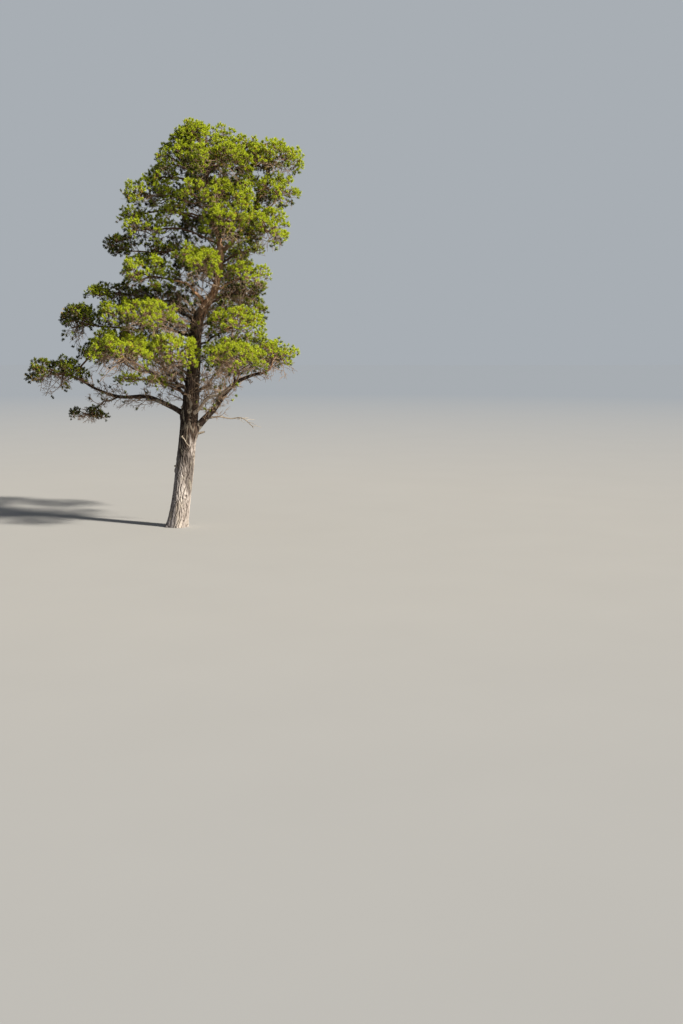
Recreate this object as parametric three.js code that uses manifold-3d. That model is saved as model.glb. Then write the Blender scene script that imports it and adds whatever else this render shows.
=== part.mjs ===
// A Scots pine about twelve metres tall, rooted in open ground.
// The model is in millimetres with +Z up. Tables and rules below work in metres, and each
// finished solid is scaled once. The origin is the middle of the flat cut at ground level.
// Seen along +Y, with +X to the right, the trunk leans a little to the right.

import * as THREE from "three";
import Module from "manifold-3d";

const wasm = await Module();
wasm.setup();

// Driving dimensions

const MILLIMETRES = 1000;
const TREE_TOP = 12.0;

// The clear seam between a limb and what it grows from, and the room that a twig keeps
const SEAM = 0.0004;
const TWIG_CLEARANCE = 0.02;

// Joints are smoothed below this size, and no two corners of a skin lie closer than the second
const SMALLEST_EDGE = 0.003;
const CLOSEST_CORNERS = 0.0001;

// The trunk's middle line and radius, from the flat cut to the tip under the top mass
const TRUNK_STATIONS = [
  { height: 0.0, x: 0.0, y: 0.0, radius: 0.292 },
  { height: 1.34, x: 0.195, y: 0.0, radius: 0.272 },
  { height: 2.57, x: 0.326, y: 0.03, radius: 0.256 },
  { height: 3.78, x: 0.451, y: 0.05, radius: 0.232 },
  { height: 4.89, x: 0.56, y: 0.04, radius: 0.19 },
  { height: 6.2, x: 0.695, y: 0.0, radius: 0.182 },
  { height: 7.1, x: 1.22, y: -0.04, radius: 0.108 },
  { height: 8.28, x: 1.38, y: 0.0, radius: 0.092 },
  { height: 9.26, x: 1.155, y: 0.06, radius: 0.056 },
  { height: 11.02, x: 0.9, y: 0.04, radius: 0.02 },
];
const TRUNK_TIP = TRUNK_STATIONS[TRUNK_STATIONS.length - 1].height;
const TRUNK_SIDES = 14;
const TRUNK_RINGS = 22;
const RING_CROWDING = 1.18;
const ROOT_FLARE = 0.085;
const ROOT_FLARE_FADE = 0.24;
const ROOT_TOES = 5;
const TOE_DEPTH = 0.38;
const TOE_TURN = 0.6;
const FLARE_LEAN = 0.42;
const BARK_SWELL = 0.035;
const SWELL_LOBES = 3;
const SWELL_TWIST = 2;

// Broken stubs on the clean lower trunk
const STUBS = [
  { height: 2.7, heading: -20, length: 0.24, radius: 0.034 },
  { height: 1.77, heading: 195, length: 0.07, radius: 0.03 },
  { height: 2.62, heading: 250, length: 0.1, radius: 0.026 },
];
const STUB_LIFT = 14;
const STUB_SIDES = 5;
const STUB_TAPER = [1.4, 1, 0.6];

const BOUGH_SIDES = 6;
const BOUGH_STEP = 0.42;
const FEWEST_STEPS = 4;
const BOUGH_TAPER = 1.25;
const BOUGH_CROOK = 0.035;
const LARGEST_CROOK = 0.07;
const CROOK_TURNS = { side: 9, up: 11 };
const CURVE_HANDLE = 0.35;

// The stem inside a mass: it bends towards the hub, below the middle, and ends past it
const STEM_SIDES = 4;
const STEM_NODES = 9;
const STEM_RADIUS = 0.034;
const THINNEST_STEM = 0.018;
const STEM_TAPER = [1, 1, 0.9, 0.75, 0.55];
const STEM_CLIMB = 35;
const STEM_COLLAR = 0.05;
const STEM_LEAVE = 0.4;
const STEM_BEND = 0.3;
const HUB_DROP = 0.3;
const STEM_REACH = 0.45;
const STEM_USED_TO = 0.95;

// Needle sprays, and the three-sided twigs that carry them
const SPRAY_LENGTH = 0.56;
const SPRAY_SPREAD = 0.35;
const SPRAY_FLATTEN = 0.66;
const SPRAY_TEETH = 5;
const SPRAY_VARIETY = 0.14;
const SPRAY_UPTURN = 0.52;
const SPRAY_RISE = 0.6;
const SPRAY_SIZES = { least: 0.2, perHeight: 1.6 };
const TOOTH_LEVEL = 0.7;
const NOTCH_LEVEL = 0.36;
const NOTCH_DEPTH = 0.4;
const SPRAY_ATTEMPTS = 9;
const SPIN_STEP = 0.5;
const SPRAYS_PER_SQUARE_METRE = 1.85;
const FEWEST_SPRAYS = 6;
const SHELL_SIDES = 0.6;
const SHELL_LOWEST = -0.3;
const SHELL_FULLNESS = 2.6;
const TWIG_SIDES = 3;
const TWIG_NECK = 0.012;
const TWIG_FORK = 0.6;
const ROOT_SHARE = 0.9;
const UPRIGHT = 0.9;

// What makes a place dear for a new twig: wood already run, twigs already there, and being too high
const RUN_COST = 0.35;
const STEM_RUN = 0.3;
const USED_COST = 0.3;
const DROP_COST = 1.5;
const GOLDEN_ANGLE = Math.PI * (3 - Math.sqrt(5));

// Boughs. Each leaves the trunk at a height, or a parent bough at a fraction of its length.
// Climb and arrive are the angles above the horizontal at the two ends.
const BOUGHS = [
  { name: "bough_low_left", leaves: 3.15, tip: [-2.72, 0.15, 4.34],
    climb: 62, arrive: 38, thick: 0.085, thin: 0.034 },
  { name: "bough_droop_left", parent: "bough_low_left", leaves: 0.66, tip: [-2.38, -0.28, 3.56],
    climb: -5, arrive: -38, thick: 0.03, thin: 0.018 },
  { name: "bough_under_left", leaves: 3.71, tip: [-1.1, -0.3, 4.72],
    climb: 58, arrive: 12, thick: 0.05, thin: 0.027 },
  { name: "bough_inner_left", leaves: 4.39, tip: [0.08, -0.85, 4.9],
    climb: 40, arrive: 25, thick: 0.045, thin: 0.026 },
  { name: "bough_low_right", leaves: 2.73, tip: [2.62, -0.4, 4.63],
    climb: 38, arrive: 4, thick: 0.112, thin: 0.04 },
  { name: "bough_low_right_fork", parent: "bough_low_right", leaves: 0.68, tip: [1.8, -0.6, 4.82],
    climb: 62, arrive: 50, thick: 0.04, thin: 0.024 },
  { name: "bough_front_right", leaves: 3.28, tip: [1.82, -1.65, 4.3],
    climb: 34, arrive: 20, thick: 0.06, thin: 0.03 },
  { name: "bough_back_right", leaves: 3.81, tip: [1.54, 1.45, 4.8],
    climb: 42, arrive: 28, thick: 0.056, thin: 0.03 },
  { name: "bough_back_left", leaves: 4.09, tip: [-0.79, 1.45, 4.95],
    climb: 45, arrive: 22, thick: 0.05, thin: 0.028 },
  { name: "bough_front_left", leaves: 3.97, tip: [-0.69, -1.65, 4.8],
    climb: 44, arrive: 18, thick: 0.05, thin: 0.028 },
  { name: "dead_branch_right", parent: "bough_low_right", leaves: 0.24, tip: [2.33, -0.15, 2.99],
    climb: 8, arrive: -58, thick: 0.028, thin: 0.01 },
  { name: "bough_mid_left", leaves: 5.62, tip: [-2.23, 0.3, 6.0],
    climb: 32, arrive: 8, thick: 0.05, thin: 0.026 },
  { name: "bough_mid_left_inner", leaves: 5.95, tip: [-0.32, -0.35, 6.16],
    climb: 28, arrive: 12, thick: 0.036, thin: 0.022 },
  { name: "bough_mid_right", leaves: 5.35, tip: [1.37, -0.35, 5.8],
    climb: 30, arrive: 28, thick: 0.038, thin: 0.024 },
  { name: "bough_mid_front", leaves: 5.7, tip: [-0.11, -1.45, 6.16],
    climb: 30, arrive: 18, thick: 0.042, thin: 0.025 },
  { name: "bough_mid_back", leaves: 5.85, tip: [1.3, 1.4, 6.4],
    climb: 32, arrive: 22, thick: 0.042, thin: 0.025 },
  { name: "bough_mid_back_left", leaves: 6.05, tip: [-0.4, 1.4, 6.66],
    climb: 34, arrive: 20, thick: 0.04, thin: 0.025 },
  { name: "bough_dark_left", leaves: 6.3, tip: [-1.1, 0.3, 6.9],
    climb: 30, arrive: 4, thick: 0.042, thin: 0.022 },
  { name: "bough_curved_left", leaves: 6.6, tip: [0.02, -0.35, 7.34],
    climb: 66, arrive: 4, thick: 0.055, thin: 0.028 },
  { name: "bough_upper_right", leaves: 6.94, tip: [1.74, -0.35, 7.3],
    climb: 40, arrive: 25, thick: 0.036, thin: 0.022 },
  { name: "bough_high_left", leaves: 8.03, tip: [-1.25, 0.15, 8.21],
    climb: 12, arrive: 2, thick: 0.034, thin: 0.018 },
  { name: "bough_fork_right", leaves: 8.13, tip: [2.74, 0.0, 10.18],
    climb: 40, arrive: 70, thick: 0.062, thin: 0.034 },
  { name: "bough_fork_right_side", parent: "bough_fork_right", leaves: 0.52, tip: [2.85, 0.12, 9.5],
    climb: 8, arrive: 18, thick: 0.032, thin: 0.022 },
];

// Masses of needles. Each keeps to a rounded space: its middle and half sizes.
// Its stem meets the tip of a bough, or of the trunk, or leaves the trunk at a height.
const LIT = "lit";
const SHADE = "shade";
const MASSES = [
  { name: "needles_droop_left", stem: "bough_droop_left", at: [-2.56, -0.3, 3.46],
    half: [0.6, 0.36, 0.22], tint: SHADE },
  { name: "needles_far_left", stem: "bough_low_left", at: [-3.58, 0.2, 4.72],
    half: [0.97, 0.85, 0.44], tint: SHADE },
  { name: "needles_low_left", stem: "bough_under_left", at: [-1.7, -0.15, 5.5],
    half: [0.92, 1.05, 0.55], tint: LIT },
  { name: "needles_inner_left", stem: "bough_inner_left", at: [0.0, -1.2, 5.36],
    half: [0.84, 0.92, 0.5], tint: LIT },
  { name: "needles_low_right", stem: "bough_low_right", at: [2.96, -0.3, 5.2],
    half: [0.74, 1.05, 0.42], tint: LIT },
  { name: "needles_inner_right", stem: "bough_low_right_fork", at: [1.64, -0.95, 5.27],
    half: [0.84, 0.9, 0.46], tint: LIT },
  { name: "needles_front_right", stem: "bough_front_right", at: [2.0, -2.5, 5.18],
    half: [0.9, 0.78, 0.42], tint: LIT },
  { name: "needles_back_right", stem: "bough_back_right", at: [2.05, 2.25, 5.32],
    half: [1.1, 1.0, 0.52], tint: SHADE },
  { name: "needles_back_left", stem: "bough_back_left", at: [-1.53, 2.2, 5.45],
    half: [1.1, 1.0, 0.52], tint: SHADE },
  { name: "needles_front_left", stem: "bough_front_left", at: [-1.27, -2.5, 5.38],
    half: [0.9, 0.8, 0.42], tint: LIT },
  { name: "needles_mid_left_tip", stem: "bough_mid_left", at: [-2.88, 0.35, 6.26],
    half: [0.55, 0.75, 0.45], tint: SHADE },
  { name: "needles_mid_left", stem: "bough_mid_left_inner", at: [-1.25, -0.4, 6.43],
    half: [1.12, 0.95, 0.46], tint: LIT },
  { name: "needles_mid_right", stem: "bough_mid_right", at: [1.86, -0.5, 6.17],
    half: [0.88, 1.05, 0.48], tint: LIT },
  { name: "needles_mid_front", stem: "bough_mid_front", at: [-0.51, -2.25, 6.42],
    half: [0.84, 0.78, 0.4], tint: LIT },
  { name: "needles_mid_back", stem: "bough_mid_back", at: [1.5, 2.2, 6.65],
    half: [1.2, 0.95, 0.48], tint: SHADE },
  { name: "needles_mid_back_left", stem: "bough_mid_back_left", at: [-0.9, 2.05, 6.9],
    half: [1.1, 0.95, 0.48], tint: SHADE },
  { name: "needles_dark_left", stem: "bough_dark_left", at: [-1.82, 0.3, 7.09],
    half: [0.66, 0.5, 0.26], tint: SHADE },
  { name: "needles_upper_left", stem: "bough_curved_left", at: [-0.75, -0.45, 7.65],
    half: [0.8, 0.95, 0.52], tint: LIT },
  { name: "needles_centre_front", stem: 7.2, at: [0.84, -1.35, 7.92],
    half: [0.66, 0.85, 0.5], tint: LIT },
  { name: "needles_upper_right", stem: "bough_upper_right", at: [2.21, -0.45, 7.54],
    half: [0.7, 1.0, 0.38], tint: LIT },
  { name: "needles_dark_right", stem: 6.55, at: [1.95, 0.75, 7.07],
    half: [0.7, 0.55, 0.28], tint: SHADE },
  { name: "needles_upper_back", stem: 7.25, at: [1.02, 1.55, 7.93],
    half: [1.25, 0.95, 0.52], tint: SHADE },
  { name: "needles_high_left_tip", stem: "bough_high_left", at: [-1.66, 0.25, 8.46],
    half: [0.38, 0.5, 0.28], tint: SHADE },
  { name: "needles_high_left", stem: 8.38, at: [-0.68, -0.1, 8.93],
    half: [0.88, 0.95, 0.4], tint: LIT },
  { name: "needles_high_right", stem: 8.62, at: [2.78, -0.5, 8.92],
    half: [0.66, 0.95, 0.62], tint: LIT },
  { name: "needles_high_front", stem: 8.47, at: [1.63, -1.25, 9.04],
    half: [0.8, 0.75, 0.52], tint: LIT },
  { name: "needles_high_back", stem: 8.55, at: [1.08, 1.5, 9.06],
    half: [1.15, 0.85, 0.46], tint: SHADE },
  { name: "needles_shoulder_left", stem: 9.31, at: [-0.66, 0.05, 9.95],
    half: [0.8, 0.95, 0.48], tint: LIT },
  { name: "needles_shoulder_front", stem: 9.18, at: [1.33, -0.98, 9.76],
    half: [1.23, 0.8, 0.54], tint: LIT },
  { name: "needles_shoulder_right", stem: "bough_fork_right_side", at: [3.02, 0.1, 10.06],
    half: [0.68, 0.95, 0.45], tint: LIT },
  { name: "needles_shoulder_back", stem: 9.55, at: [1.04, 1.25, 10.09],
    half: [1.15, 0.85, 0.52], tint: SHADE },
  { name: "needles_top_right", stem: "bough_fork_right", at: [2.86, 0.0, 10.98],
    half: [1.02, 1.1, 0.52], tint: LIT },
  { name: "needles_top_left", stem: 10.14, at: [0.16, 0.0, 10.95],
    half: [0.66, 0.9, 0.52], tint: LIT },
  { name: "needles_top_front", stem: 10.33, at: [1.45, -0.9, 10.76],
    half: [1.0, 0.66, 0.58], tint: LIT },
  { name: "needles_top_back", stem: 10.48, at: [1.25, 0.95, 10.9],
    half: [0.95, 0.7, 0.52], tint: LIT },
  { name: "needles_crown_top", stem: "trunk", at: [0.98, 0.03, TREE_TOP - 0.59],
    half: [0.92, 0.85, 0.6], tint: LIT },
];

const ORANGE_BARK_FROM = 7.0;
const COLOURS = {
  bark_grey: { color: 0x8a7a6b, roughness: 0.95 },
  bark_dark: { color: 0x4a3a30, roughness: 0.95 },
  bark_orange: { color: 0xa8673f, roughness: 0.9 },
  dead_wood: { color: 0xa79b8e, roughness: 0.95 },
  lit: { color: 0x8fa628, roughness: 0.8 },
  shade: { color: 0x2f4316, roughness: 0.85 },
};

// Small helpers

function vector([x, y, z]) {
  return new THREE.Vector3(x, y, z);
}

function dice(seed) {
  const modulus = 2147483647;
  const multiplier = 16807;
  let state = (seed * 7919 + 104729) % modulus;
  return () => {
    state = (state * multiplier) % modulus;
    return state / modulus;
  };
}

function direction(heading, climb) {
  const turn = THREE.MathUtils.degToRad(heading);
  const lift = THREE.MathUtils.degToRad(climb);
  return new THREE.Vector3(
    Math.cos(turn) * Math.cos(lift),
    Math.sin(turn) * Math.cos(lift),
    Math.sin(lift),
  );
}

function headingOf(from, to) {
  return THREE.MathUtils.radToDeg(Math.atan2(to.y - from.y, to.x - from.x));
}

function closedGeometry(points, triangles) {
  const geometry = new THREE.BufferGeometry();
  geometry.setAttribute("position", new THREE.Float32BufferAttribute(points.flatMap((p) => p.toArray()), 3));
  geometry.setIndex(triangles.flat());
  return geometry;
}

function solidOf(geometry) {
  const vertProperties = new Float32Array(geometry.attributes.position.array);
  const triVerts = new Uint32Array(geometry.index.array);
  return new wasm.Manifold(new wasm.Mesh({ numProp: 3, vertProperties, triVerts }));
}

function geometryOf(solid) {
  const mesh = solid.getMesh();
  const scaled = Float32Array.from(mesh.vertProperties, (value) => value * MILLIMETRES);
  const geometry = new THREE.BufferGeometry();
  geometry.setAttribute("position", new THREE.BufferAttribute(scaled, 3));
  geometry.setIndex(new THREE.BufferAttribute(new Uint32Array(mesh.triVerts), 1));
  geometry.computeVertexNormals();
  return geometry;
}

// The outer skin of the largest body: sealed hollows are filled and loose scraps are dropped
function oneBody(solid) {
  const bodies = solid.decompose();
  return bodies.reduce((largest, body) => (body.volume() > largest.volume() ? body : largest));
}

function ringTurns(count) {
  return Array.from({ length: count }, (unused, index) => (index / count) * Math.PI * 2);
}

// Joins rings of points into one closed skin. Rings may differ in count, and a ring of one point
// is a tip. A first or last ring with more points is closed flat.
function skinOfRings(rings) {
  const triangles = [];
  let lowerStart = 0;
  for (let ring = 0; ring + 1 < rings.length; ring += 1) {
    const lowerCount = rings[ring].length;
    const upperCount = rings[ring + 1].length;
    const upperStart = lowerStart + lowerCount;
    let lower = 0;
    let upper = 0;
    while (lower < lowerCount || upper < upperCount) {
      const here = lowerStart + (lower % lowerCount);
      const above = upperStart + (upper % upperCount);
      const stepUpper = (upper + 0.5) / upperCount <= (lower + 0.5) / lowerCount;
      if (lower === lowerCount || (upper < upperCount && stepUpper)) {
        upper += 1;
        if (upperCount > 1) {
          triangles.push([here, upperStart + (upper % upperCount), above]);
        }
      } else {
        lower += 1;
        if (lowerCount > 1) {
          triangles.push([here, lowerStart + (lower % lowerCount), above]);
        }
      }
    }
    lowerStart = upperStart;
  }
  for (let side = 1; side + 1 < rings[0].length; side += 1) {
    triangles.push([0, side + 1, side]);
  }
  for (let side = 1; side + 1 < rings[rings.length - 1].length; side += 1) {
    triangles.push([lowerStart, lowerStart + side, lowerStart + side + 1]);
  }
  return closedGeometry(rings.flat(), triangles);
}

// A round limb along a path, with a radius at each of its points
function limbSolid(path, radii, sides) {
  let across = new THREE.Vector3(1, 1, 3);
  const rings = path.map((point, index) => {
    const before = path[Math.max(index - 1, 0)];
    const after = path[Math.min(index + 1, path.length - 1)];
    const along = after.clone().sub(before).normalize();
    across = across.clone().addScaledVector(along, -across.dot(along)).normalize();
    const third = along.clone().cross(across);
    return ringTurns(sides).map((turn) => point.clone()
      .addScaledVector(across, Math.cos(turn) * radii[index])
      .addScaledVector(third, Math.sin(turn) * radii[index]));
  });
  return solidOf(skinOfRings(rings));
}

// The trunk

function trunkAt(height) {
  const stations = TRUNK_STATIONS;
  let index = 0;
  while (index + 2 < stations.length && stations[index + 1].height <= height) {
    index += 1;
  }
  const slope = (place, key) => {
    const before = stations[Math.max(place - 1, 0)];
    const after = stations[Math.min(place + 1, stations.length - 1)];
    return (after[key] - before[key]) / (after.height - before.height);
  };
  const lower = stations[index];
  const upper = stations[index + 1];
  const span = upper.height - lower.height;
  const t = THREE.MathUtils.clamp((height - lower.height) / span, 0, 1);
  const blend = (key) => {
    const rise = t * t * (3 - 2 * t);
    const leave = t * (1 - t) * (1 - t) * span * slope(index, key);
    const arrive = t * t * (t - 1) * span * slope(index + 1, key);
    return lower[key] + (upper[key] - lower[key]) * rise + leave + arrive;
  };
  return { middle: new THREE.Vector3(blend("x"), blend("y"), height), radius: blend("radius") };
}

// Root toes swell the foot, most on the side that the trunk leans away from
function trunkRadius(height, turn) {
  const fade = Math.exp(-height / ROOT_FLARE_FADE);
  const toes = 1 - TOE_DEPTH + TOE_DEPTH * Math.cos(ROOT_TOES * turn + TOE_TURN);
  const lean = 1 - FLARE_LEAN * Math.cos(turn);
  const twist = SWELL_TWIST * height;
  const swell = 1 + BARK_SWELL * Math.sin(SWELL_LOBES * turn + twist) * Math.cos(twist + turn);
  return trunkAt(height).radius * swell + ROOT_FLARE * fade * toes * lean;
}

function trunkSolid(extra) {
  const rings = Array.from({ length: TRUNK_RINGS }, (unused, ring) => {
    const height = TRUNK_TIP * (ring / (TRUNK_RINGS - 1)) ** RING_CROWDING;
    const { middle } = trunkAt(height);
    return ringTurns(TRUNK_SIDES).map((turn) => {
      const outward = new THREE.Vector3(Math.cos(turn), Math.sin(turn), 0);
      return middle.clone().addScaledVector(outward, trunkRadius(height, turn) + extra);
    });
  });
  return solidOf(skinOfRings(rings));
}

// A stub starts inside the trunk and narrows to its broken end
function stubSolid(stub) {
  const { middle, radius } = trunkAt(stub.height);
  const outward = direction(stub.heading, STUB_LIFT);
  const path = [radius / 2, radius + stub.length / 2, radius + stub.length]
    .map((distance) => middle.clone().addScaledVector(outward, distance));
  return limbSolid(path, STUB_TAPER.map((taper) => taper * stub.radius), STUB_SIDES);
}

function trunkWithStubs() {
  return STUBS.reduce((trunk, stub) => trunk.add(stubSolid(stub)), trunkSolid(0));
}

// Boughs

// A bough's path bends from its climb to its arrival, with a little crookedness between
function limbPath(start, bough, order) {
  const roll = dice(order + 1);
  const tip = vector(bough.tip);
  const length = start.distanceTo(tip);
  const heading = headingOf(start, tip);
  const curve = new THREE.CubicBezierCurve3(
    start,
    start.clone().addScaledVector(direction(heading, bough.climb), length * CURVE_HANDLE),
    tip.clone().addScaledVector(direction(heading, bough.arrive), -length * CURVE_HANDLE),
    tip,
  );
  const side = direction(heading + 90, 0);
  const up = new THREE.Vector3(0, 0, 1);
  const phase = roll() * Math.PI * 2;
  const lift = roll() * Math.PI * 2;
  const crook = Math.min(BOUGH_CROOK * length, LARGEST_CROOK);
  const steps = Math.max(FEWEST_STEPS, Math.round(length / BOUGH_STEP));
  return Array.from({ length: steps + 1 }, (unused, step) => {
    const t = step / steps;
    const fade = crook * Math.sin(Math.PI * t) ** 2;
    return curve.getPoint(t)
      .addScaledVector(side, fade * Math.sin(CROOK_TURNS.side * t + phase))
      .addScaledVector(up, fade * Math.sin(CROOK_TURNS.up * t + lift));
  });
}

function limbRadii(bough, count, extra) {
  return Array.from({ length: count }, (unused, step) => {
    const t = step / (count - 1);
    return bough.thin + (bough.thick - bough.thin) * (1 - t) ** BOUGH_TAPER + extra;
  });
}

function pointAlong(path, fraction) {
  const place = fraction * (path.length - 1);
  const index = Math.min(Math.floor(place), path.length - 2);
  return path[index].clone().lerp(path[index + 1], place - index);
}

// Each bough starts inside its carrier and is cut back by the carrier's sleeve, which leaves the seam
function buildBoughs(trunkSleeve) {
  const built = new Map();
  BOUGHS.forEach((bough, order) => {
    const parent = built.get(bough.parent);
    const start = parent ? pointAlong(parent.path, bough.leaves) : trunkAt(bough.leaves).middle;
    const path = limbPath(start, bough, order);
    const whole = limbSolid(path, limbRadii(bough, path.length, 0), BOUGH_SIDES);
    built.set(bough.name, {
      path,
      solid: whole.subtract(parent ? parent.sleeve : trunkSleeve),
      sleeve: limbSolid(path, limbRadii(bough, path.length, SEAM), BOUGH_SIDES),
      tipRadius: bough.thin,
    });
  });
  return built;
}

// Masses of needles

// One spray on its twig: three-sided wood that opens into a slim core with teeth standing out
function twigWithSpray(foot, spray) {
  const { base, axis, length } = spray;
  const upright = Math.abs(axis.z) > UPRIGHT;
  const helper = upright ? new THREE.Vector3(1, 0, 0) : new THREE.Vector3(0, 0, 1);
  const wide = helper.clone().cross(axis).normalize().applyAxisAngle(axis, spray.spin);
  const narrow = axis.clone().cross(wide);
  const place = (along, radius, turn, squeeze) => base.clone()
    .addScaledVector(axis, along * length)
    .addScaledVector(wide, Math.cos(turn) * radius)
    .addScaledVector(narrow, Math.sin(turn) * radius * squeeze);
  const neck = ringTurns(TWIG_SIDES).map((turn) => place(0, TWIG_NECK, turn, 1));
  const grip = foot.hold / TWIG_NECK;
  const root = neck.map((point) => point.clone().sub(base).multiplyScalar(grip).add(foot.point));
  const rim = ringTurns(SPRAY_TEETH * 2).map((turn, corner) => {
    const tooth = corner % 2 === 0;
    const level = tooth ? TOOTH_LEVEL : NOTCH_LEVEL;
    return place(level, spray.spread * (tooth ? 1 : NOTCH_DEPTH), turn, SPRAY_FLATTEN);
  });
  return solidOf(skinOfRings([root, neck, rim, [place(1, 0, 0, 1)]]));
}

// Where a mass's stem starts, and the way it points there
function stemStart(mass, boughs) {
  const middle = vector(mass.at);
  if (typeof mass.stem === "number") {
    const start = trunkAt(mass.stem).middle;
    return { start, leave: direction(headingOf(start, middle), STEM_CLIMB) };
  }
  if (mass.stem === "trunk") {
    const leave = new THREE.Vector3(0, 0, 1);
    return { start: trunkAt(TRUNK_TIP).middle.addScaledVector(leave, SEAM), leave };
  }
  const [before, tip] = boughs.get(mass.stem).path.slice(-2);
  const leave = tip.clone().sub(before).normalize();
  return { start: tip.clone().addScaledVector(leave, SEAM), leave };
}

function stemPath(mass, boughs) {
  const { start, leave } = stemStart(mass, boughs);
  const half = vector(mass.half);
  const hub = vector(mass.at).add(new THREE.Vector3(0, 0, -HUB_DROP * half.z));
  const reach = mass.stem === "trunk" ? 0 : Math.min(half.x, half.y) * STEM_REACH;
  const end = hub.clone()
    .addScaledVector(direction(headingOf(start, hub), 0), reach)
    .add(new THREE.Vector3(0, 0, HUB_DROP * half.z));
  const collar = start.clone().addScaledVector(leave, STEM_COLLAR);
  const straight = start.distanceTo(hub) * STEM_LEAVE;
  const bend = start.clone().addScaledVector(leave, straight).lerp(hub, STEM_BEND);
  return [start, collar, bend, hub, end];
}

function stemRadii(mass, boughs) {
  const foot = boughs.has(mass.stem) ? boughs.get(mass.stem).tipRadius : STEM_RADIUS;
  return STEM_TAPER.map((taper) => Math.max(foot * taper, THINNEST_STEM));
}

// A point on the mass's rounded shell, which is fuller than an egg
function shellPoint(mass, level, turn) {
  const ring = Math.sqrt(Math.max(0, 1 - level * level));
  const out = new THREE.Vector3(ring * Math.cos(turn), ring * Math.sin(turn), level);
  const size = out.toArray().reduce((sum, part) => sum + Math.abs(part) ** SHELL_FULLNESS, 0);
  const full = out.clone().divideScalar(size ** (1 / SHELL_FULLNESS));
  return { out, surface: vector(mass.at).add(full.multiply(vector(mass.half))) };
}

// Even places for sprays over the top and sides of the mass's space
function sprayPlaces(mass, order) {
  const [wide, deep, high] = mass.half;
  const skin = Math.PI * (wide * deep + SHELL_SIDES * high * (wide + deep));
  const count = Math.max(FEWEST_SPRAYS, Math.round(skin * SPRAYS_PER_SQUARE_METRE));
  const roll = dice(order + 101);
  const start = roll() * Math.PI * 2;
  const size = Math.min(1, SPRAY_SIZES.least + SPRAY_SIZES.perHeight * high);
  const varied = () => size * (1 - SPRAY_VARIETY + 2 * SPRAY_VARIETY * roll());
  return Array.from({ length: count }, (unused, index) => {
    const level = 1 - ((index + 0.4) / count) * (1 - SHELL_LOWEST);
    const { out, surface } = shellPoint(mass, level, start + index * GOLDEN_ANGLE);
    const lift = Math.max(level, 0) * SPRAY_RISE + SPRAY_UPTURN;
    const axis = new THREE.Vector3(out.x, out.y, lift).normalize();
    const length = SPRAY_LENGTH * varied();
    return {
      base: surface.addScaledVector(axis, -length),
      axis,
      length,
      spread: SPRAY_SPREAD * varied(),
      spin: roll() * Math.PI,
    };
  });
}

function boxesNear(one, other) {
  const a = one.boundingBox();
  const b = other.boundingBox();
  return [0, 1, 2].every((axis) => a.min[axis] < b.max[axis] + TWIG_CLEARANCE
    && b.min[axis] < a.max[axis] + TWIG_CLEARANCE);
}

function isClear(piece, others) {
  return others.every((other) => !boxesNear(piece, other)
    || piece.minGap(other, TWIG_CLEARANCE) >= TWIG_CLEARANCE);
}

// Places on the stem that twigs can leave from, all past its first bend. The hold is the radius
// of the largest root that stays buried in the wood there.
function stemNodes(stem) {
  const first = 2 / (stem.path.length - 1);
  return Array.from({ length: STEM_NODES }, (unused, index) => {
    const along = index / (STEM_NODES - 1);
    const fraction = first + (1 - first) * along * STEM_USED_TO;
    const radius = THREE.MathUtils.lerp(stem.radii[2], stem.radii[stem.radii.length - 1], along);
    return {
      point: pointAlong(stem.path, fraction),
      hold: radius * Math.cos(Math.PI / STEM_SIDES) * ROOT_SHARE,
      run: along * STEM_RUN,
      used: 0,
    };
  });
}

// Each new twig leaves the place that gives the shortest way, and places already used count as further
function twigFoot(nodes, target) {
  const cost = (node) => node.point.distanceTo(target) + RUN_COST * node.run
    + USED_COST * node.used + DROP_COST * Math.max(0, node.point.z - target.z);
  return nodes.reduce((best, node) => (cost(node) < cost(best) ? node : best));
}

// True where no two corners of the skin lie closer together than a hair
function cornersApart(solid) {
  const values = solid.getMesh().vertProperties;
  const corners = Array.from({ length: values.length / 3 }, (unused, index) => (
    new THREE.Vector3().fromArray(values, index * 3)
  )).sort((one, other) => one.x - other.x);
  return corners.every((corner, index) => {
    let next = index + 1;
    while (next < corners.length && corners[next].x - corner.x < CLOSEST_CORNERS) {
      if (corner.distanceTo(corners[next]) < CLOSEST_CORNERS) {
        return false;
      }
      next += 1;
    }
    return true;
  });
}

// Fuses one spray on, turned on its axis where the first way round leaves a ragged joint
function withSpray(grown, foot, place, others) {
  for (let attempt = 0; attempt < SPRAY_ATTEMPTS; attempt += 1) {
    const spray = twigWithSpray(foot, { ...place, spin: place.spin + attempt * SPIN_STEP });
    const joined = oneBody(grown.add(spray)).simplify(SMALLEST_EDGE);
    if (isClear(spray, others) && joined.volume() > grown.volume() && cornersApart(joined)) {
      return joined;
    }
  }
  return null;
}

// Twigs leave the stem and each other until every place has its spray
function growMass(mass, order, stem, others) {
  const nodes = stemNodes(stem);
  let grown = stem.whole;
  for (const place of sprayPlaces(mass, order)) {
    const foot = twigFoot(nodes, place.base);
    const joined = withSpray(grown, foot, place, others);
    if (joined) {
      grown = joined;
      foot.used += 1;
      const forkRadius = THREE.MathUtils.lerp(foot.hold, TWIG_NECK, TWIG_FORK);
      nodes.push({
        point: foot.point.clone().lerp(place.base, TWIG_FORK),
        hold: forkRadius * Math.cos(Math.PI / TWIG_SIDES) * ROOT_SHARE,
        run: foot.run + foot.point.distanceTo(place.base) * TWIG_FORK,
        used: 0,
      });
    }
  }
  return typeof mass.stem === "number" ? oneBody(grown.subtract(trunkSleeve)) : grown;
}

// Assembly

function material(name) {
  return new THREE.MeshStandardMaterial({ ...COLOURS[name], metalness: 0 });
}

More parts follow.
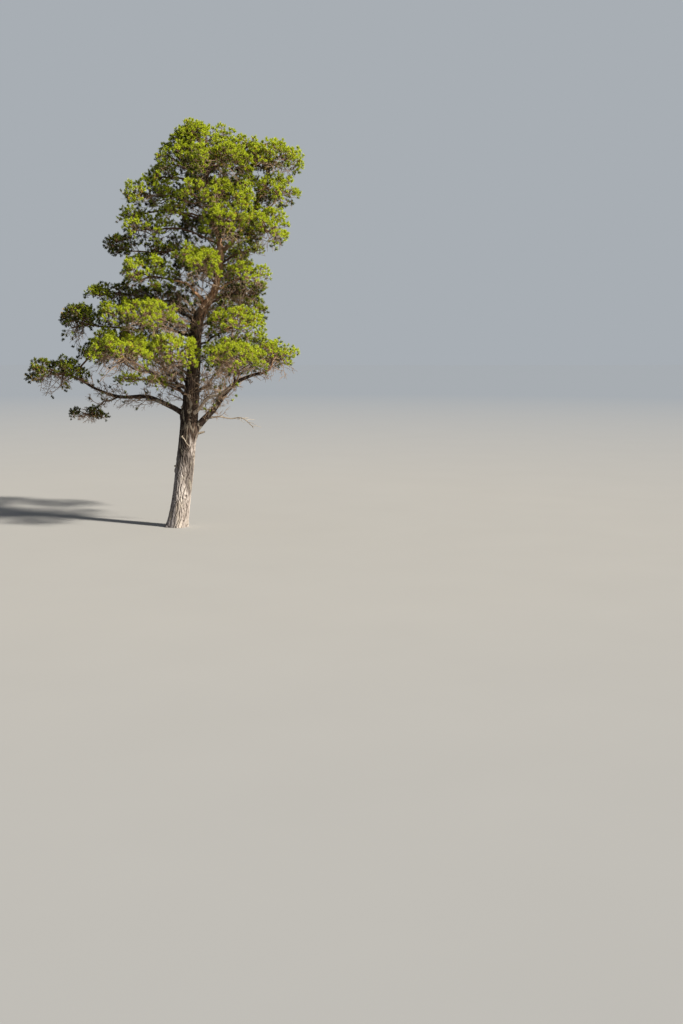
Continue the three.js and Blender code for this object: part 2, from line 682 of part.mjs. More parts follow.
function namedMesh(name, solid, colour) {
  const mesh = new THREE.Mesh(geometryOf(solid), material(colour));
  mesh.name = name;
  return mesh;
}

// The bark is dark and scaly low in the crown, and thin and orange high up
function boughColour(bough) {
  if (bough.name.startsWith("dead")) {
    return "dead_wood";
  }
  return vector(bough.tip).z > ORANGE_BARK_FROM ? "bark_orange" : "bark_dark";
}

const tree = new THREE.Group();
const trunkSleeve = trunkSolid(SEAM);
const trunk = trunkWithStubs();
const boughs = buildBoughs(trunkSleeve);
tree.add(namedMesh("trunk", trunk, "bark_grey"));
for (const bough of BOUGHS) {
  tree.add(namedMesh(bough.name, boughs.get(bough.name).solid, boughColour(bough)));
}

const stems = MASSES.map((mass) => {
  const path = stemPath(mass, boughs);
  const radii = stemRadii(mass, boughs);
  const whole = limbSolid(path, radii, STEM_SIDES);
  const cut = typeof mass.stem === "number" ? whole.subtract(trunkSleeve) : whole;
  return { path, radii, whole, cut };
});
const limbs = [trunk, ...[...boughs.values()].map((bough) => bough.solid)];
const finished = [];
MASSES.forEach((mass, order) => {
  const otherStems = stems.slice(order + 1).map((stem) => stem.cut);
  const grown = growMass(mass, order, stems[order], [...limbs, ...otherStems, ...finished]);
  finished.push(grown);
  tree.add(namedMesh(mass.name, grown, mass.tint));
});

export default tree;
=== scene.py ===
"""Looks of a twelve metre Scots pine: bark, boughs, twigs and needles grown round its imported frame."""

import functools
import math

import bpy
import numpy as np
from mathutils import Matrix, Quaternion, Vector


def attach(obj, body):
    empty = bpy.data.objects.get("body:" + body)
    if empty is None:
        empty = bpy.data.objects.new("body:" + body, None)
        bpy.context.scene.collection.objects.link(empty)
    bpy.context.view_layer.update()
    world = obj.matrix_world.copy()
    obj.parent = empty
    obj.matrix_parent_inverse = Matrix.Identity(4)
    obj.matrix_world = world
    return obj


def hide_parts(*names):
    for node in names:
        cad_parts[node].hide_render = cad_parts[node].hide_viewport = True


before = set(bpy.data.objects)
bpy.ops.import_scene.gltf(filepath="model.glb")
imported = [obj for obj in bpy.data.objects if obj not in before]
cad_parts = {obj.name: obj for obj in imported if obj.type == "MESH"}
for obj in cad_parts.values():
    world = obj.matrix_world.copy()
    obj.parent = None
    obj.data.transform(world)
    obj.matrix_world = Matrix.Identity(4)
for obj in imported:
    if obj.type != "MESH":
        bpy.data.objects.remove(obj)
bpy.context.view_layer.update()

bl_info = {
    "name": "Scots Pine",
    "version": (1, 0, 0),
    "blender": (4, 5, 0),
    "location": "3D View > Sidebar > Pine",
    "description": "Bark, boughs, twigs and needles of a Scots pine",
    "category": "Object",
}

BODY = "root"
UP = Vector((0, 0, 1))
GOLDEN_ANGLE = math.pi * (3 - math.sqrt(5))

# The trunk's middle line and radius: height, x, y, radius
TRUNK_STATIONS = np.array([
    (0.0, 0.0, 0.0, 0.292),
    (1.34, 0.195, 0.0, 0.272),
    (2.57, 0.326, 0.03, 0.256),
    (3.78, 0.451, 0.05, 0.232),
    (4.89, 0.56, 0.04, 0.19),
    (6.2, 0.695, 0.0, 0.182),
    (7.1, 1.22, -0.04, 0.108),
    (8.28, 1.38, 0.0, 0.092),
    (9.26, 1.155, 0.06, 0.056),
    (11.02, 0.9, 0.04, 0.02),
])
TRUNK_TIP = TRUNK_STATIONS[-1][0]
ROOT_FLARE = 0.085
ROOT_FLARE_FADE = 0.24
ROOT_TOES = 5
TOE_DEPTH = 0.38
TOE_TURN = 0.6
FLARE_LEAN = 0.42

# Broken stubs: height, heading, length past the bark, radius
STUBS = [
    (2.74, -8, 0.3, 0.032),
    (1.77, 195, 0.07, 0.03),
    (2.62, 250, 0.1, 0.026),
    (3.28, 290, 0.05, 0.03),
    (3.44, 274, 0.05, 0.075),
    (3.55, 205, 0.07, 0.028),
    (3.88, 262, 0.07, 0.055),
    (4.45, -60, 0.14, 0.018),
]
STUB_LIFT = 14

# Boughs: what they leave and where, the tip, the climb at each end, and the radius at each end
BOUGHS = {
    "bough_low_left": ("trunk", 3.15, (-2.72, 0.15, 4.34), 62, 38, 0.085, 0.034),
    "bough_droop_left": ("bough_low_left", 0.66, (-2.38, -0.28, 3.56), -5, -38, 0.03, 0.018),
    "bough_under_left": ("trunk", 3.71, (-1.1, -0.3, 4.72), 58, 12, 0.05, 0.027),
    "bough_inner_left": ("trunk", 4.39, (0.08, -0.85, 4.9), 40, 25, 0.045, 0.026),
    "bough_low_right": ("trunk", 2.73, (2.62, -0.4, 4.63), 38, 4, 0.112, 0.04),
    "bough_low_right_fork": ("bough_low_right", 0.68, (1.8, -0.6, 4.82), 62, 50, 0.04, 0.024),
    "bough_front_right": ("trunk", 3.28, (1.82, -1.65, 4.3), 34, 20, 0.06, 0.03),
    "bough_back_right": ("trunk", 3.81, (1.54, 1.45, 4.8), 42, 28, 0.056, 0.03),
    "bough_back_left": ("trunk", 4.09, (-0.79, 1.45, 4.95), 45, 22, 0.05, 0.028),
    "bough_front_left": ("trunk", 3.97, (-0.69, -1.65, 4.8), 44, 18, 0.05, 0.028),
    "dead_branch_right": ("bough_low_right", 0.24, (2.33, -0.15, 2.99), 8, -58, 0.028, 0.01),
    "bough_mid_left": ("trunk", 5.62, (-2.23, 0.3, 6.0), 32, 8, 0.05, 0.026),
    "bough_mid_left_inner": ("trunk", 5.95, (-0.32, -0.35, 6.16), 28, 12, 0.036, 0.022),
    "bough_mid_right": ("trunk", 5.35, (1.37, -0.35, 5.8), 30, 28, 0.038, 0.024),
    "bough_mid_front": ("trunk", 5.7, (-0.11, -1.45, 6.16), 30, 18, 0.042, 0.025),
    "bough_mid_back": ("trunk", 5.85, (1.3, 1.4, 6.4), 32, 22, 0.042, 0.025),
    "bough_mid_back_left": ("trunk", 6.05, (-0.4, 1.4, 6.66), 34, 20, 0.04, 0.025),
    "bough_dark_left": ("trunk", 6.3, (-1.1, 0.3, 6.9), 30, 4, 0.042, 0.022),
    "bough_curved_left": ("trunk", 6.6, (0.02, -0.35, 7.34), 66, 4, 0.055, 0.028),
    "bough_upper_right": ("trunk", 6.94, (1.74, -0.35, 7.3), 40, 25, 0.036, 0.022),
    "bough_high_left": ("trunk", 8.03, (-1.25, 0.15, 8.21), 12, 2, 0.034, 0.018),
    "bough_fork_right": ("trunk", 8.13, (2.74, 0.0, 10.18), 40, 70, 0.062, 0.034),
    "bough_fork_right_side": ("bough_fork_right", 0.52, (2.85, 0.12, 9.5), 8, 18, 0.032, 0.022),
}
DEAD = "dead_branch_right"
# The front bough's paler bark is partly its own worn bark and partly painted sunlight, as it stands in the
# crown's shade
PALE = "bough_front_right"
ORANGE_BARK_FROM = 7.0
BOUGH_STEP = 0.42
FEWEST_STEPS = 4
BOUGH_TAPER = 1.25
BOUGH_FLARE = 0.4
BOUGH_CROOK = 0.035
LARGEST_CROOK = 0.07
CROOK_TURNS = (9, 11)
CURVE_HANDLE = 0.35

# Masses of needles: what the stem leaves, the middle and half sizes of the space, and its shade.
# A number is a height on the trunk.
BRIGHT = 0.45
LIT = 0.22
SOFT = 0.1
SHADE = -0.6
DEEP_SHADE = -1.0
MASSES = {
    "needles_droop_left": ("bough_droop_left", (-2.56, -0.3, 3.46), (0.6, 0.36, 0.22), DEEP_SHADE),
    "needles_far_left": ("bough_low_left", (-3.58, 0.2, 4.72), (0.97, 0.85, 0.44), SHADE),
    "needles_low_left": ("bough_under_left", (-1.7, -0.15, 5.5), (0.92, 1.05, 0.55), LIT),
    "needles_inner_left": ("bough_inner_left", (0.0, -1.2, 5.36), (0.84, 0.92, 0.5), LIT),
    "needles_low_right": ("bough_low_right", (2.96, -0.3, 5.2), (0.74, 1.05, 0.42), SOFT),
    "needles_inner_right": ("bough_low_right_fork", (1.64, -0.95, 5.27), (0.84, 0.9, 0.46), SOFT),
    "needles_front_right": ("bough_front_right", (2.0, -2.5, 5.18), (0.9, 0.78, 0.42), SOFT),
    "needles_back_right": ("bough_back_right", (2.05, 2.25, 5.32), (1.1, 1.0, 0.52), SHADE),
    "needles_back_left": ("bough_back_left", (-1.53, 2.2, 5.45), (1.1, 1.0, 0.52), SHADE),
    "needles_front_left": ("bough_front_left", (-1.27, -2.5, 5.38), (0.9, 0.8, 0.42), LIT),
    "needles_mid_left_tip": ("bough_mid_left", (-2.88, 0.35, 6.26), (0.55, 0.75, 0.45), SHADE),
    "needles_mid_left": ("bough_mid_left_inner", (-1.25, -0.4, 6.43), (1.12, 0.95, 0.46), LIT),
    "needles_mid_right": ("bough_mid_right", (1.86, -0.5, 6.17), (0.88, 1.05, 0.48), SOFT),
    "needles_mid_front": ("bough_mid_front", (-0.51, -2.25, 6.42), (0.84, 0.78, 0.4), LIT),
    "needles_mid_back": ("bough_mid_back", (1.5, 2.2, 6.65), (1.2, 0.95, 0.48), SHADE),
    "needles_mid_back_left": ("bough_mid_back_left", (-0.9, 2.05, 6.9), (1.1, 0.95, 0.48), SHADE),
    "needles_dark_left": ("bough_dark_left", (-1.82, 0.3, 7.09), (0.66, 0.5, 0.26), SHADE),
    "needles_upper_left": ("bough_curved_left", (-0.75, -0.45, 7.65), (0.8, 0.95, 0.52), LIT),
    "needles_centre_front": (7.2, (0.84, -1.35, 7.92), (0.66, 0.85, 0.5), LIT),
    "needles_upper_right": ("bough_upper_right", (2.21, -0.45, 7.54), (0.7, 1.0, 0.38), LIT),
    "needles_dark_right": (6.55, (1.95, 0.75, 7.07), (0.7, 0.55, 0.28), DEEP_SHADE),
    "needles_upper_back": (7.25, (1.02, 1.55, 7.93), (1.25, 0.95, 0.52), SHADE),
    "needles_high_left_tip": ("bough_high_left", (-1.66, 0.25, 8.46), (0.38, 0.5, 0.28), SHADE),
    "needles_high_left": (8.38, (-0.68, -0.1, 8.93), (0.88, 0.95, 0.4), LIT),
    "needles_high_right": (8.62, (2.78, -0.5, 8.92), (0.66, 0.95, 0.62), LIT),
    "needles_high_front": (8.47, (1.63, -1.25, 9.04), (0.8, 0.75, 0.52), LIT),
    "needles_high_back": (8.55, (1.08, 1.5, 9.06), (1.15, 0.85, 0.46), SHADE),
    "needles_shoulder_left": (9.31, (-0.66, 0.05, 9.95), (0.8, 0.95, 0.48), LIT),
    "needles_shoulder_front": (9.18, (1.33, -0.98, 9.76), (1.23, 0.8, 0.54), LIT),
    "needles_shoulder_right": ("bough_fork_right_side", (3.02, 0.1, 10.06), (0.68, 0.95, 0.45), LIT),
    "needles_shoulder_back": (9.55, (1.04, 1.25, 10.09), (1.15, 0.85, 0.52), SHADE),
    "needles_top_right": ("bough_fork_right", (2.86, 0.0, 10.98), (1.02, 1.1, 0.52), LIT),
    "needles_top_left": (10.14, (0.16, 0.0, 10.95), (0.66, 0.9, 0.52), LIT),
    "needles_top_front": (10.33, (1.45, -0.9, 10.76), (1.0, 0.66, 0.58), LIT),
    "needles_top_back": (10.48, (1.25, 0.95, 10.9), (0.95, 0.7, 0.52), LIT),
    "needles_crown_top": ("trunk", (0.98, 0.03, 11.41), (0.92, 0.85, 0.6), LIT),
}
# Finer growth that joins one mass to the next, given in the same way
JOINS = [
    ("trunk", (0.62, 0.0, 11.72), (0.42, 0.42, 0.28), BRIGHT),
    (10.75, (0.35, 0.0, 11.48), (0.42, 0.45, 0.34), BRIGHT),
    ("bough_fork_right", (2.6, -0.1, 10.92), (0.5, 0.5, 0.3), LIT),
    (10.45, (2.1, -0.15, 11.22), (0.5, 0.6, 0.36), LIT),
    (9.95, (-0.3, -0.1, 10.42), (0.46, 0.5, 0.3), LIT),
    (8.95, (0.1, -0.5, 9.35), (0.5, 0.5, 0.26), LIT),
    (8.9, (-1.2, 0.0, 9.28), (0.4, 0.5, 0.24), LIT),
    (7.85, (-0.3, -0.35, 8.24), (0.5, 0.5, 0.26), SHADE),
    (7.8, (2.2, -0.35, 8.28), (0.5, 0.5, 0.24), LIT),
    (9.6, (2.2, -0.1, 10.22), (0.42, 0.5, 0.26), LIT),
    ("bough_dark_left", (-2.3, 0.2, 7.04), (0.4, 0.4, 0.22), LIT),
    ("bough_mid_left", (-2.85, 0.0, 6.42), (0.52, 0.5, 0.3), SHADE),
    ("bough_low_left", (-2.4, -0.2, 5.28), (0.46, 0.45, 0.28), SHADE),
    ("bough_low_left", (-3.5, -0.1, 4.76), (0.7, 0.6, 0.28), SHADE),
    (6.55, (1.95, 0.25, 7.12), (0.6, 0.4, 0.2), DEEP_SHADE),
    (4.1, (-0.5, -0.7, 4.45), (0.36, 0.35, 0.16), LIT),
    (3.9, (-1.3, -0.6, 4.5), (0.4, 0.3, 0.14), LIT),
]

# The stem inside a mass, and the sprays round it, as the solids have them
STEM_NODES = 9
STEM_SIDES = 4
STEM_RADIUS = 0.034
THINNEST_STEM = 0.018
STEM_TAPER = (1, 1, 0.9, 0.75, 0.55)
STEM_CLIMB = 35
STEM_COLLAR = 0.05
STEM_LEAVE = 0.4
STEM_BEND = 0.3
HUB_DROP = 0.3
STEM_REACH = 0.45
STEM_USED_TO = 0.95
STEM_RUN = 0.3
ROOT_SHARE = 0.9
SPRAY_LENGTH = 0.56
SPRAY_SPREAD = 0.35
SPRAY_VARIETY = 0.14
SPRAY_UPTURN = 0.52
SPRAY_RISE = 0.6
LEAST_SPRAY_SIZE = 0.2
SPRAY_SIZE_BY_HEIGHT = 1.6
SPRAYS_PER_SQUARE_METRE = 1.85
FEWEST_SPRAYS = 6
SHELL_SIDES = 0.6
SHELL_LOWEST = -0.3
SHELL_FULLNESS = 2.6
TWIG_NECK = 0.012
TWIG_FORK = 0.6
RUN_COST = 0.35
USED_COST = 0.3
DROP_COST = 1.5

# Finer growth: smaller sprays between the sprays of the solids, each spray a dome of clusters,
# each cluster a few tufts, and each tuft a few shoots of paired needles
BETWEEN_SPACE = 0.84
BETWEEN_SIZE = 0.78
BETWEEN_SEED = 500
DOME_LIFT = 0.42
DOME_HEIGHT = 0.56
DOME_WIDTH = 1.12
FIRST_STEP = 0.4
FEWEST_CLUSTERS = 2
CLUSTER_SIZE_POWER = 1.5
CLUSTER_LOWEST = -0.2
CLUSTER_REACHES = (0.82, 1.1)
CLUSTER_INSET = 0.15
CLUSTER_UPTURN = 0.62
CLUSTER_LEAVE = 0.35
CLUSTER_LEAVE_RISE = 0.6
CLUSTER_TWIG = (0.0075, 0.005)
CLUSTER_TWIG_BOW = 0.12
CLUSTER_TWIG_SAG = 0.35
TUFT_REACHES = (0.07, 0.13)
TUFT_TILTS = (55, 85)
TUFT_STEP = 0.02
TUFT_UPTURN = 0.4
TUFT_TWIG = (0.005, 0.0035)
SHOOT_RADIUS = 0.0035
SHOOT_TILTS = (40, 60)
SHOOT_SIZES = (0.82, 1.18)
SHOOT_UPTURN = 0.2
SHOOT_STEP = 0.012
SPRAY_TIP_RADIUS = 0.006

# The sun stands in front, to the right and above, seen from the camera
TO_SUN = Vector((0.77, -0.42, 0.6)).normalized()

# Camera: its lens and sensor in millimetres, where the eye is, and how far it looks down
LENS = 50
SENSOR = 36
EYE = Vector((4.959, -42.6, 5.9))
LOOK_DOWN = 7.3


def from_screen(red, green, blue):
    """A colour picked on a screen, from 0 to 255, as the linear values that a shader takes."""
    def linear(value):
        share = value / 255
        return share / 12.92 if share <= 0.04045 else ((share + 0.055) / 1.055) ** 2.4
    return tuple(linear(value) for value in (red, green, blue))


def length_property(name, description, default):
    return bpy.props.FloatProperty(name=name, description=description, default=default, unit="LENGTH")


def count_property(name, description, default):
    return bpy.props.IntProperty(name=name, description=description, default=default)


def colour_property(name, description, *screen):
    return bpy.props.FloatVectorProperty(
        name=name, description=description, default=from_screen(*screen),
        subtype="COLOR", size=3, min=0, max=1)


class PineSizes(bpy.types.PropertyGroup):
    needle_length: length_property("Needle length", "Length of one needle", 0.062)
    needle_width: length_property("Needle width", "Width of a needle at its base", 0.0156)
    needle_pairs: count_property("Pairs on a shoot", "Pairs of needles on one shoot", 10)
    shoot_length: length_property("Shoot length", "Length of one shoot", 0.048)
    clusters: count_property("Clusters on a spray", "Clusters of tufts on one full-sized spray", 5)
    tufts: count_property("Tufts in a cluster", "Tufts in one cluster", 5)
    shoots: count_property("Shoots in a tuft", "Shoots in one tuft", 3)
    plate_width: length_property("Bark plate width", "Width of a plate of bark at the foot", 0.09)
    plate_height: length_property("Bark plate height", "Height of a plate of bark", 0.8)
    bark_depth: length_property("Bark depth", "Depth of the fissures at the foot", 0.022)
    crown_bark_depth: length_property("Upper bark depth", "Depth of the fissures at the tip", 0.002)


class PineColours(bpy.types.PropertyGroup):
    bark_foot: colour_property("Lower bark", "Weathered plates of the lower trunk", 222, 212, 204)
    # The middle bark's dark colour is partly its own and partly painted shade from the crown above
    bark_middle_and_crown_shade: colour_property("Middle bark", "Dark scaly bark inside the crown", 98, 82, 70)
    bark_upper: colour_property("Upper bark", "Thin flaking bark of the upper limbs", 236, 186, 144)
    bark_bough: colour_property("Bough bark", "Dark bark of the lower boughs", 74, 61, 53)
    # Partly the bough's own worn bark, partly painted sunlight
    bark_pale: colour_property("Pale bark", "Worn bark of the front bough", 214, 196, 176)
    fissure: colour_property("Fissures", "What is left of a plate's colour in a fissure", 104, 94, 86)
    lichen: colour_property("Lichen", "Pale crust on old bark", 190, 180, 162)
    dead_wood: colour_property("Dead wood", "Bare weathered wood", 202, 188, 168)
    bare_twig: colour_property("Bare twigs", "Dead twigs in the shade", 184, 156, 130)
    stem: colour_property("Stems", "Bark of the stems inside the masses", 126, 98, 78)
    twig: colour_property("Twigs", "Bark of the twigs", 162, 126, 98)
    # The sunlit, half-lit, deep and dim needles are painted light and shade: copies of one green, dealt out
    # by how much light a shoot gets
    sunlit: colour_property("Sunlit needles", "Yellow-green needles in the sun", 204, 216, 48)
    fresh: colour_property("Fresh needles", "Green needles", 160, 174, 44)
    # Painted shade: the deep tint goes to shoots that get less light, low on the plates, turned from the sun
    # or in shaded masses
    deep: colour_property("Deep needles", "Needles inside the plates", 106, 112, 28)
    dim: colour_property("Dim needles", "Needles on the shaded side", 64, 68, 24)
    gold: colour_property("Gold needles", "Old needles about to drop", 196, 164, 62)
    floor: colour_property("Floor", "Plain pale floor", 178, 176, 172)


# Small helpers

def dice(seed):
    """A seeded run of numbers from 0 to 1, the same as the solids use."""
    modulus = 2147483647
    state = (seed * 7919 + 104729) % modulus

    def roll():
        nonlocal state
        state = state * 16807 % modulus
        return state / modulus
    return roll


def drawn(roll, bounds):
    """A chance value between two bounds."""
    low, high = bounds
    return low + (high - low) * roll()


def direction(heading, climb):
    turn = math.radians(heading)
    lift = math.radians(climb)
    return Vector((math.cos(turn) * math.cos(lift), math.sin(turn) * math.cos(lift), math.sin(lift)))


def heading_of(start, end):
    return math.degrees(math.atan2(end.y - start.y, end.x - start.x))


def smooth_step(values, low, high):
    share = np.clip((values - low) / (high - low), 0, 1)
    return share * share * (3 - 2 * share)


def point_along(path, fraction):
    place = fraction * (len(path) - 1)
    index = min(int(place), len(path) - 2)
    return path[index].lerp(path[index + 1], place - index)


def smooth_path(points, per_span):
    """A rounded path through every point."""
    ends = [points[0] * 2 - points[1], *points, points[-1] * 2 - points[-2]]
    path = []
    for before, here, after, beyond in zip(ends, ends[1:], ends[2:], ends[3:]):
        for step in range(per_span):
            t = step / per_span
            path.append(0.5 * (2 * here + (after - before) * t
                               + (2 * before - 5 * here + 4 * after - beyond) * t * t
                               + (3 * here - before - 3 * after + beyond) * t ** 3))
    return [*path, points[-1].copy()]


def spread_values(values, count):
    """Values at even steps along a shorter list of them."""
    return np.interp(np.linspace(0, len(values) - 1, count), range(len(values)), values)


def sideways(axis, turn):
    """A direction square to the axis, turned about it."""
    helper = Vector((1, 0, 0)) if abs(axis.z) > 0.9 else UP
    across = helper.cross(axis).normalized()
    return Quaternion(axis, turn) @ across


def any_side(axis, roll):
    """A direction square to the axis, turned by chance."""
    return sideways(axis, roll() * math.tau)


def fan(axis, count, tilts, roll):
    """Numbered directions that fan out round an axis, the first along it."""
    turn = roll() * math.tau
    for index in range(count):
        tilt = 0 if index == 0 else math.radians(drawn(roll, tilts))
        around = sideways(axis, turn + index * math.tau / max(1, count - 1))
        yield index, axis * math.cos(tilt) + around * math.sin(tilt)


# The source's rules: trunk, boughs, stems and the places of the sprays

def trunk_values(heights):
    """Middle line and radius of the trunk at each height, as columns x, y and radius."""
    stations = TRUNK_STATIONS
    levels = stations[:, 0]
    last = len(levels) - 1
    index = np.clip(np.searchsorted(levels, heights, side="right") - 1, 0, last - 1)
    before = np.clip(np.arange(last + 1) - 1, 0, last)
    after = np.clip(np.arange(last + 1) + 1, 0, last)
    slopes = (stations[after, 1:] - stations[before, 1:]) / (levels[after] - levels[before])[:, None]
    span = (levels[index + 1] - levels[index])[:, None]
    t = np.clip((heights[:, None] - levels[index][:, None]) / span, 0, 1)
    lower = stations[index, 1:]
    upper = stations[index + 1, 1:]
    rise = t * t * (3 - 2 * t)
    leave = t * (1 - t) ** 2 * span * slopes[index]
    arrive = t * t * (t - 1) * span * slopes[index + 1]
    return lower + (upper - lower) * rise + leave + arrive


def trunk_at(height):
    x, y, radius = trunk_values(np.array([float(height)]))[0]
    return Vector((x, y, height)), radius


def limb_path(start, tip, climb, arrive, order, finer=1):
    """A bough's path. Finer takes more points along the same curve."""
    roll = dice(order + 1)
    length = (tip - start).length
    heading = heading_of(start, tip)
    leave = start + direction(heading, climb) * length * CURVE_HANDLE
    meet = tip - direction(heading, arrive) * length * CURVE_HANDLE
    side = direction(heading + 90, 0)
    phase = roll() * math.tau
    lift = roll() * math.tau
    crook = min(BOUGH_CROOK * length, LARGEST_CROOK)
    steps = max(FEWEST_STEPS, round(length / BOUGH_STEP)) * finer
    path = []
    for step in range(steps + 1):
        t = step / steps
        fade = crook * math.sin(math.pi * t) ** 2
        point = (start * (1 - t) ** 3 + leave * 3 * t * (1 - t) ** 2
                 + meet * 3 * t * t * (1 - t) + tip * t ** 3)
        path.append(point + side * fade * math.sin(CROOK_TURNS[0] * t + phase)
                    + UP * fade * math.sin(CROOK_TURNS[1] * t + lift))
    return path


def limb_radii(thick, thin, count):
    return thin + (thick - thin) * (1 - np.linspace(0, 1, count)) ** BOUGH_TAPER


@functools.cache
def bough_paths():
    """Coarse path of every bough, as the solids have it, and its start."""
    paths = {}
    for order, (name, (parent, leaves, tip, climb, arrive, _, _)) in enumerate(BOUGHS.items()):
        start = trunk_at(leaves)[0] if parent == "trunk" else point_along(paths[parent], leaves)
        paths[name] = limb_path(start, Vector(tip), climb, arrive, order)
    return paths


def stem_start(stem, middle):
    if isinstance(stem, float):
        start = trunk_at(stem)[0]
        return start, direction(heading_of(start, middle), STEM_CLIMB)
    if stem == "trunk":
        return trunk_at(TRUNK_TIP)[0], UP
    before, tip = bough_paths()[stem][-2:]
    return tip.copy(), (tip - before).normalized()


def stem_path(stem, middle, half):
    start, leave = stem_start(stem, middle)
    hub = middle - UP * HUB_DROP * half.z
    reach = 0 if stem == "trunk" else min(half.x, half.y) * STEM_REACH
    end = hub + direction(heading_of(start, hub), 0) * reach + UP * HUB_DROP * half.z
    collar = start + leave * STEM_COLLAR
    bend = (start + leave * (hub - start).length * STEM_LEAVE).lerp(hub, STEM_BEND)
    return [start, collar, bend, hub, end]


def stem_radii(stem):
    foot = BOUGHS[stem][-1] if stem in BOUGHS else STEM_RADIUS
    return [max(foot * taper, THINNEST_STEM) for taper in STEM_TAPER]


def spray_places(middle, half, order, between=0):
    """Even places for sprays over the top and sides of a mass's space, or for those between them."""
    wide, deep, high = half
    skin = math.pi * (wide * deep + SHELL_SIDES * high * (wide + deep))
    count = max(FEWEST_SPRAYS, math.floor(skin * SPRAYS_PER_SQUARE_METRE + 0.5))
    roll = dice(order + 101 + between)
    start = roll() * math.tau
    size = min(1, LEAST_SPRAY_SIZE + SPRAY_SIZE_BY_HEIGHT * high)

    def varied():
        return size * (1 - SPRAY_VARIETY + 2 * SPRAY_VARIETY * roll())
    sprays = []
    for index in range(count):
        level = 1 - ((index + FIRST_STEP) / count) * (1 - SHELL_LOWEST)
        turn = start + index * GOLDEN_ANGLE
        ring = math.sqrt(max(0, 1 - level * level))
        out = Vector((ring * math.cos(turn), ring * math.sin(turn), level))
        bulk = sum(abs(part) ** SHELL_FULLNESS for part in out) ** (1 / SHELL_FULLNESS)
        surface = middle + Vector(part * reach / bulk for part, reach in zip(out, half))
        axis = Vector((out.x, out.y, max(level, 0) * SPRAY_RISE + SPRAY_UPTURN)).normalized()
        length = SPRAY_LENGTH * varied()
        spread = SPRAY_SPREAD * varied()
        sprays.append({
            "base": surface - axis * length,
            "axis": axis,
            "length": length,
            "spread": spread,
            "spin": roll() * math.pi,
            "size": size,
            "out": out,
        })
    return sprays


def stem_nodes(path, radii):
    first = 2 / (len(path) - 1)
    nodes = []
    for index in range(STEM_NODES):
        along = index / (STEM_NODES - 1)
        radius = radii[2] + (radii[-1] - radii[2]) * along
        nodes.append({
            "point": point_along(path, first + (1 - first) * along * STEM_USED_TO),
            "hold": radius * math.cos(math.pi / STEM_SIDES) * ROOT_SHARE,
            "run": along * STEM_RUN,
            "used": 0,
        })
    return nodes


def twig_foot(nodes, target):
    """The place on the wood from which a new twig is cheapest."""
    def cost(node):
        return ((node["point"] - target).length + RUN_COST * node["run"] + USED_COST * node["used"]
                + DROP_COST * max(0, node["point"].z - target.z))
    return min(nodes, key=cost)


# Finer growth

# Needle tints from the lightest: painted light and shade, apart from gold, which is the needles' own colour
# dealt out by chance
TINTS = ("sunlit", "fresh", "deep", "dim", "gold")
TINT_SLOTS = {
    "sunlit": "needles_lit",
    "fresh": "needles_lit",
    "gold": "needles_lit",
    "deep": "needles_shade",
    "dim": "needles_shade",
}
GOLD_SHARE = 0.02
TINT_EDGES = (0.53, 0.14, -0.28)
TINT_CHANCE = 0.62
# What a tuft's light comes from: how it faces the sun, and how high it is on its plate
SUN_SHARE = 0.45
LEVEL_SHARE = 0.7
# A tuft faces as its spray, its cluster and its own twig do, and its level comes from the same three
FACING_SHARES = (0.5, 0.4, 0.5)
LEVEL_SHARES = (0.3, 0.4, 0.3)
SHOOT_LIGHT = 0.55
SHOOT_LIGHT_EVEN = 0.4


def light_on(out, level, shade):
    """How much light a tuft gets: most where it faces the sun high on a lit plate."""
    return SUN_SHARE * out.dot(TO_SUN) + LEVEL_SHARE * level + shade


def tint_of(light, roll):
    """The tint of a shoot in so much light, with some chance in it."""
    if roll() < GOLD_SHARE:
        return "gold"
    score = light + TINT_CHANCE * (roll() - 0.5)
    for tint, edge in zip(TINTS, TINT_EDGES):
        if score > edge:
            return tint
    return "dim"


def grow_tuft(end, axis, size, shoots, light, crown, roll):
    """Shoots of needles that fan out round the end of a twig, the ones towards the sun lighter."""
    for index, way in fan(axis, shoots, SHOOT_TILTS, roll):
        way = (way + UP * SHOOT_UPTURN).normalized()
        tint = tint_of(light + SHOOT_LIGHT * (way.dot(TO_SUN) - SHOOT_LIGHT_EVEN), roll)
        scale = size * drawn(roll, SHOOT_SIZES)
        crown["shoots"][tint].append((end - axis * SHOOT_STEP * index, way, roll() * math.tau, scale))


def grow_cluster(hub, axis, spray, level, shade, crown, roll):
    """Tufts round the end of a twig: one on its tip, the others out to the sides."""
    sizes = bpy.context.scene.pine_sizes
    for index, way in fan(axis, sizes.tufts, TUFT_TILTS, roll):
        end = hub + way * drawn(roll, TUFT_REACHES)
        crown["twigs"].append(([hub - axis * TUFT_STEP * index, end], TUFT_TWIG))
        of_spray, of_cluster, of_tuft = FACING_SHARES
        facing = (spray["out"] * of_spray + axis * of_cluster + way * of_tuft).normalized()
        of_spray, of_cluster, of_tuft = LEVEL_SHARES
        light = light_on(facing, of_cluster * level + of_spray * spray["out"].z + of_tuft * way.z, shade)
        upward = (way + UP * TUFT_UPTURN).normalized()
        grow_tuft(end, upward, math.sqrt(spray["size"]), sizes.shoots, light, crown, roll)


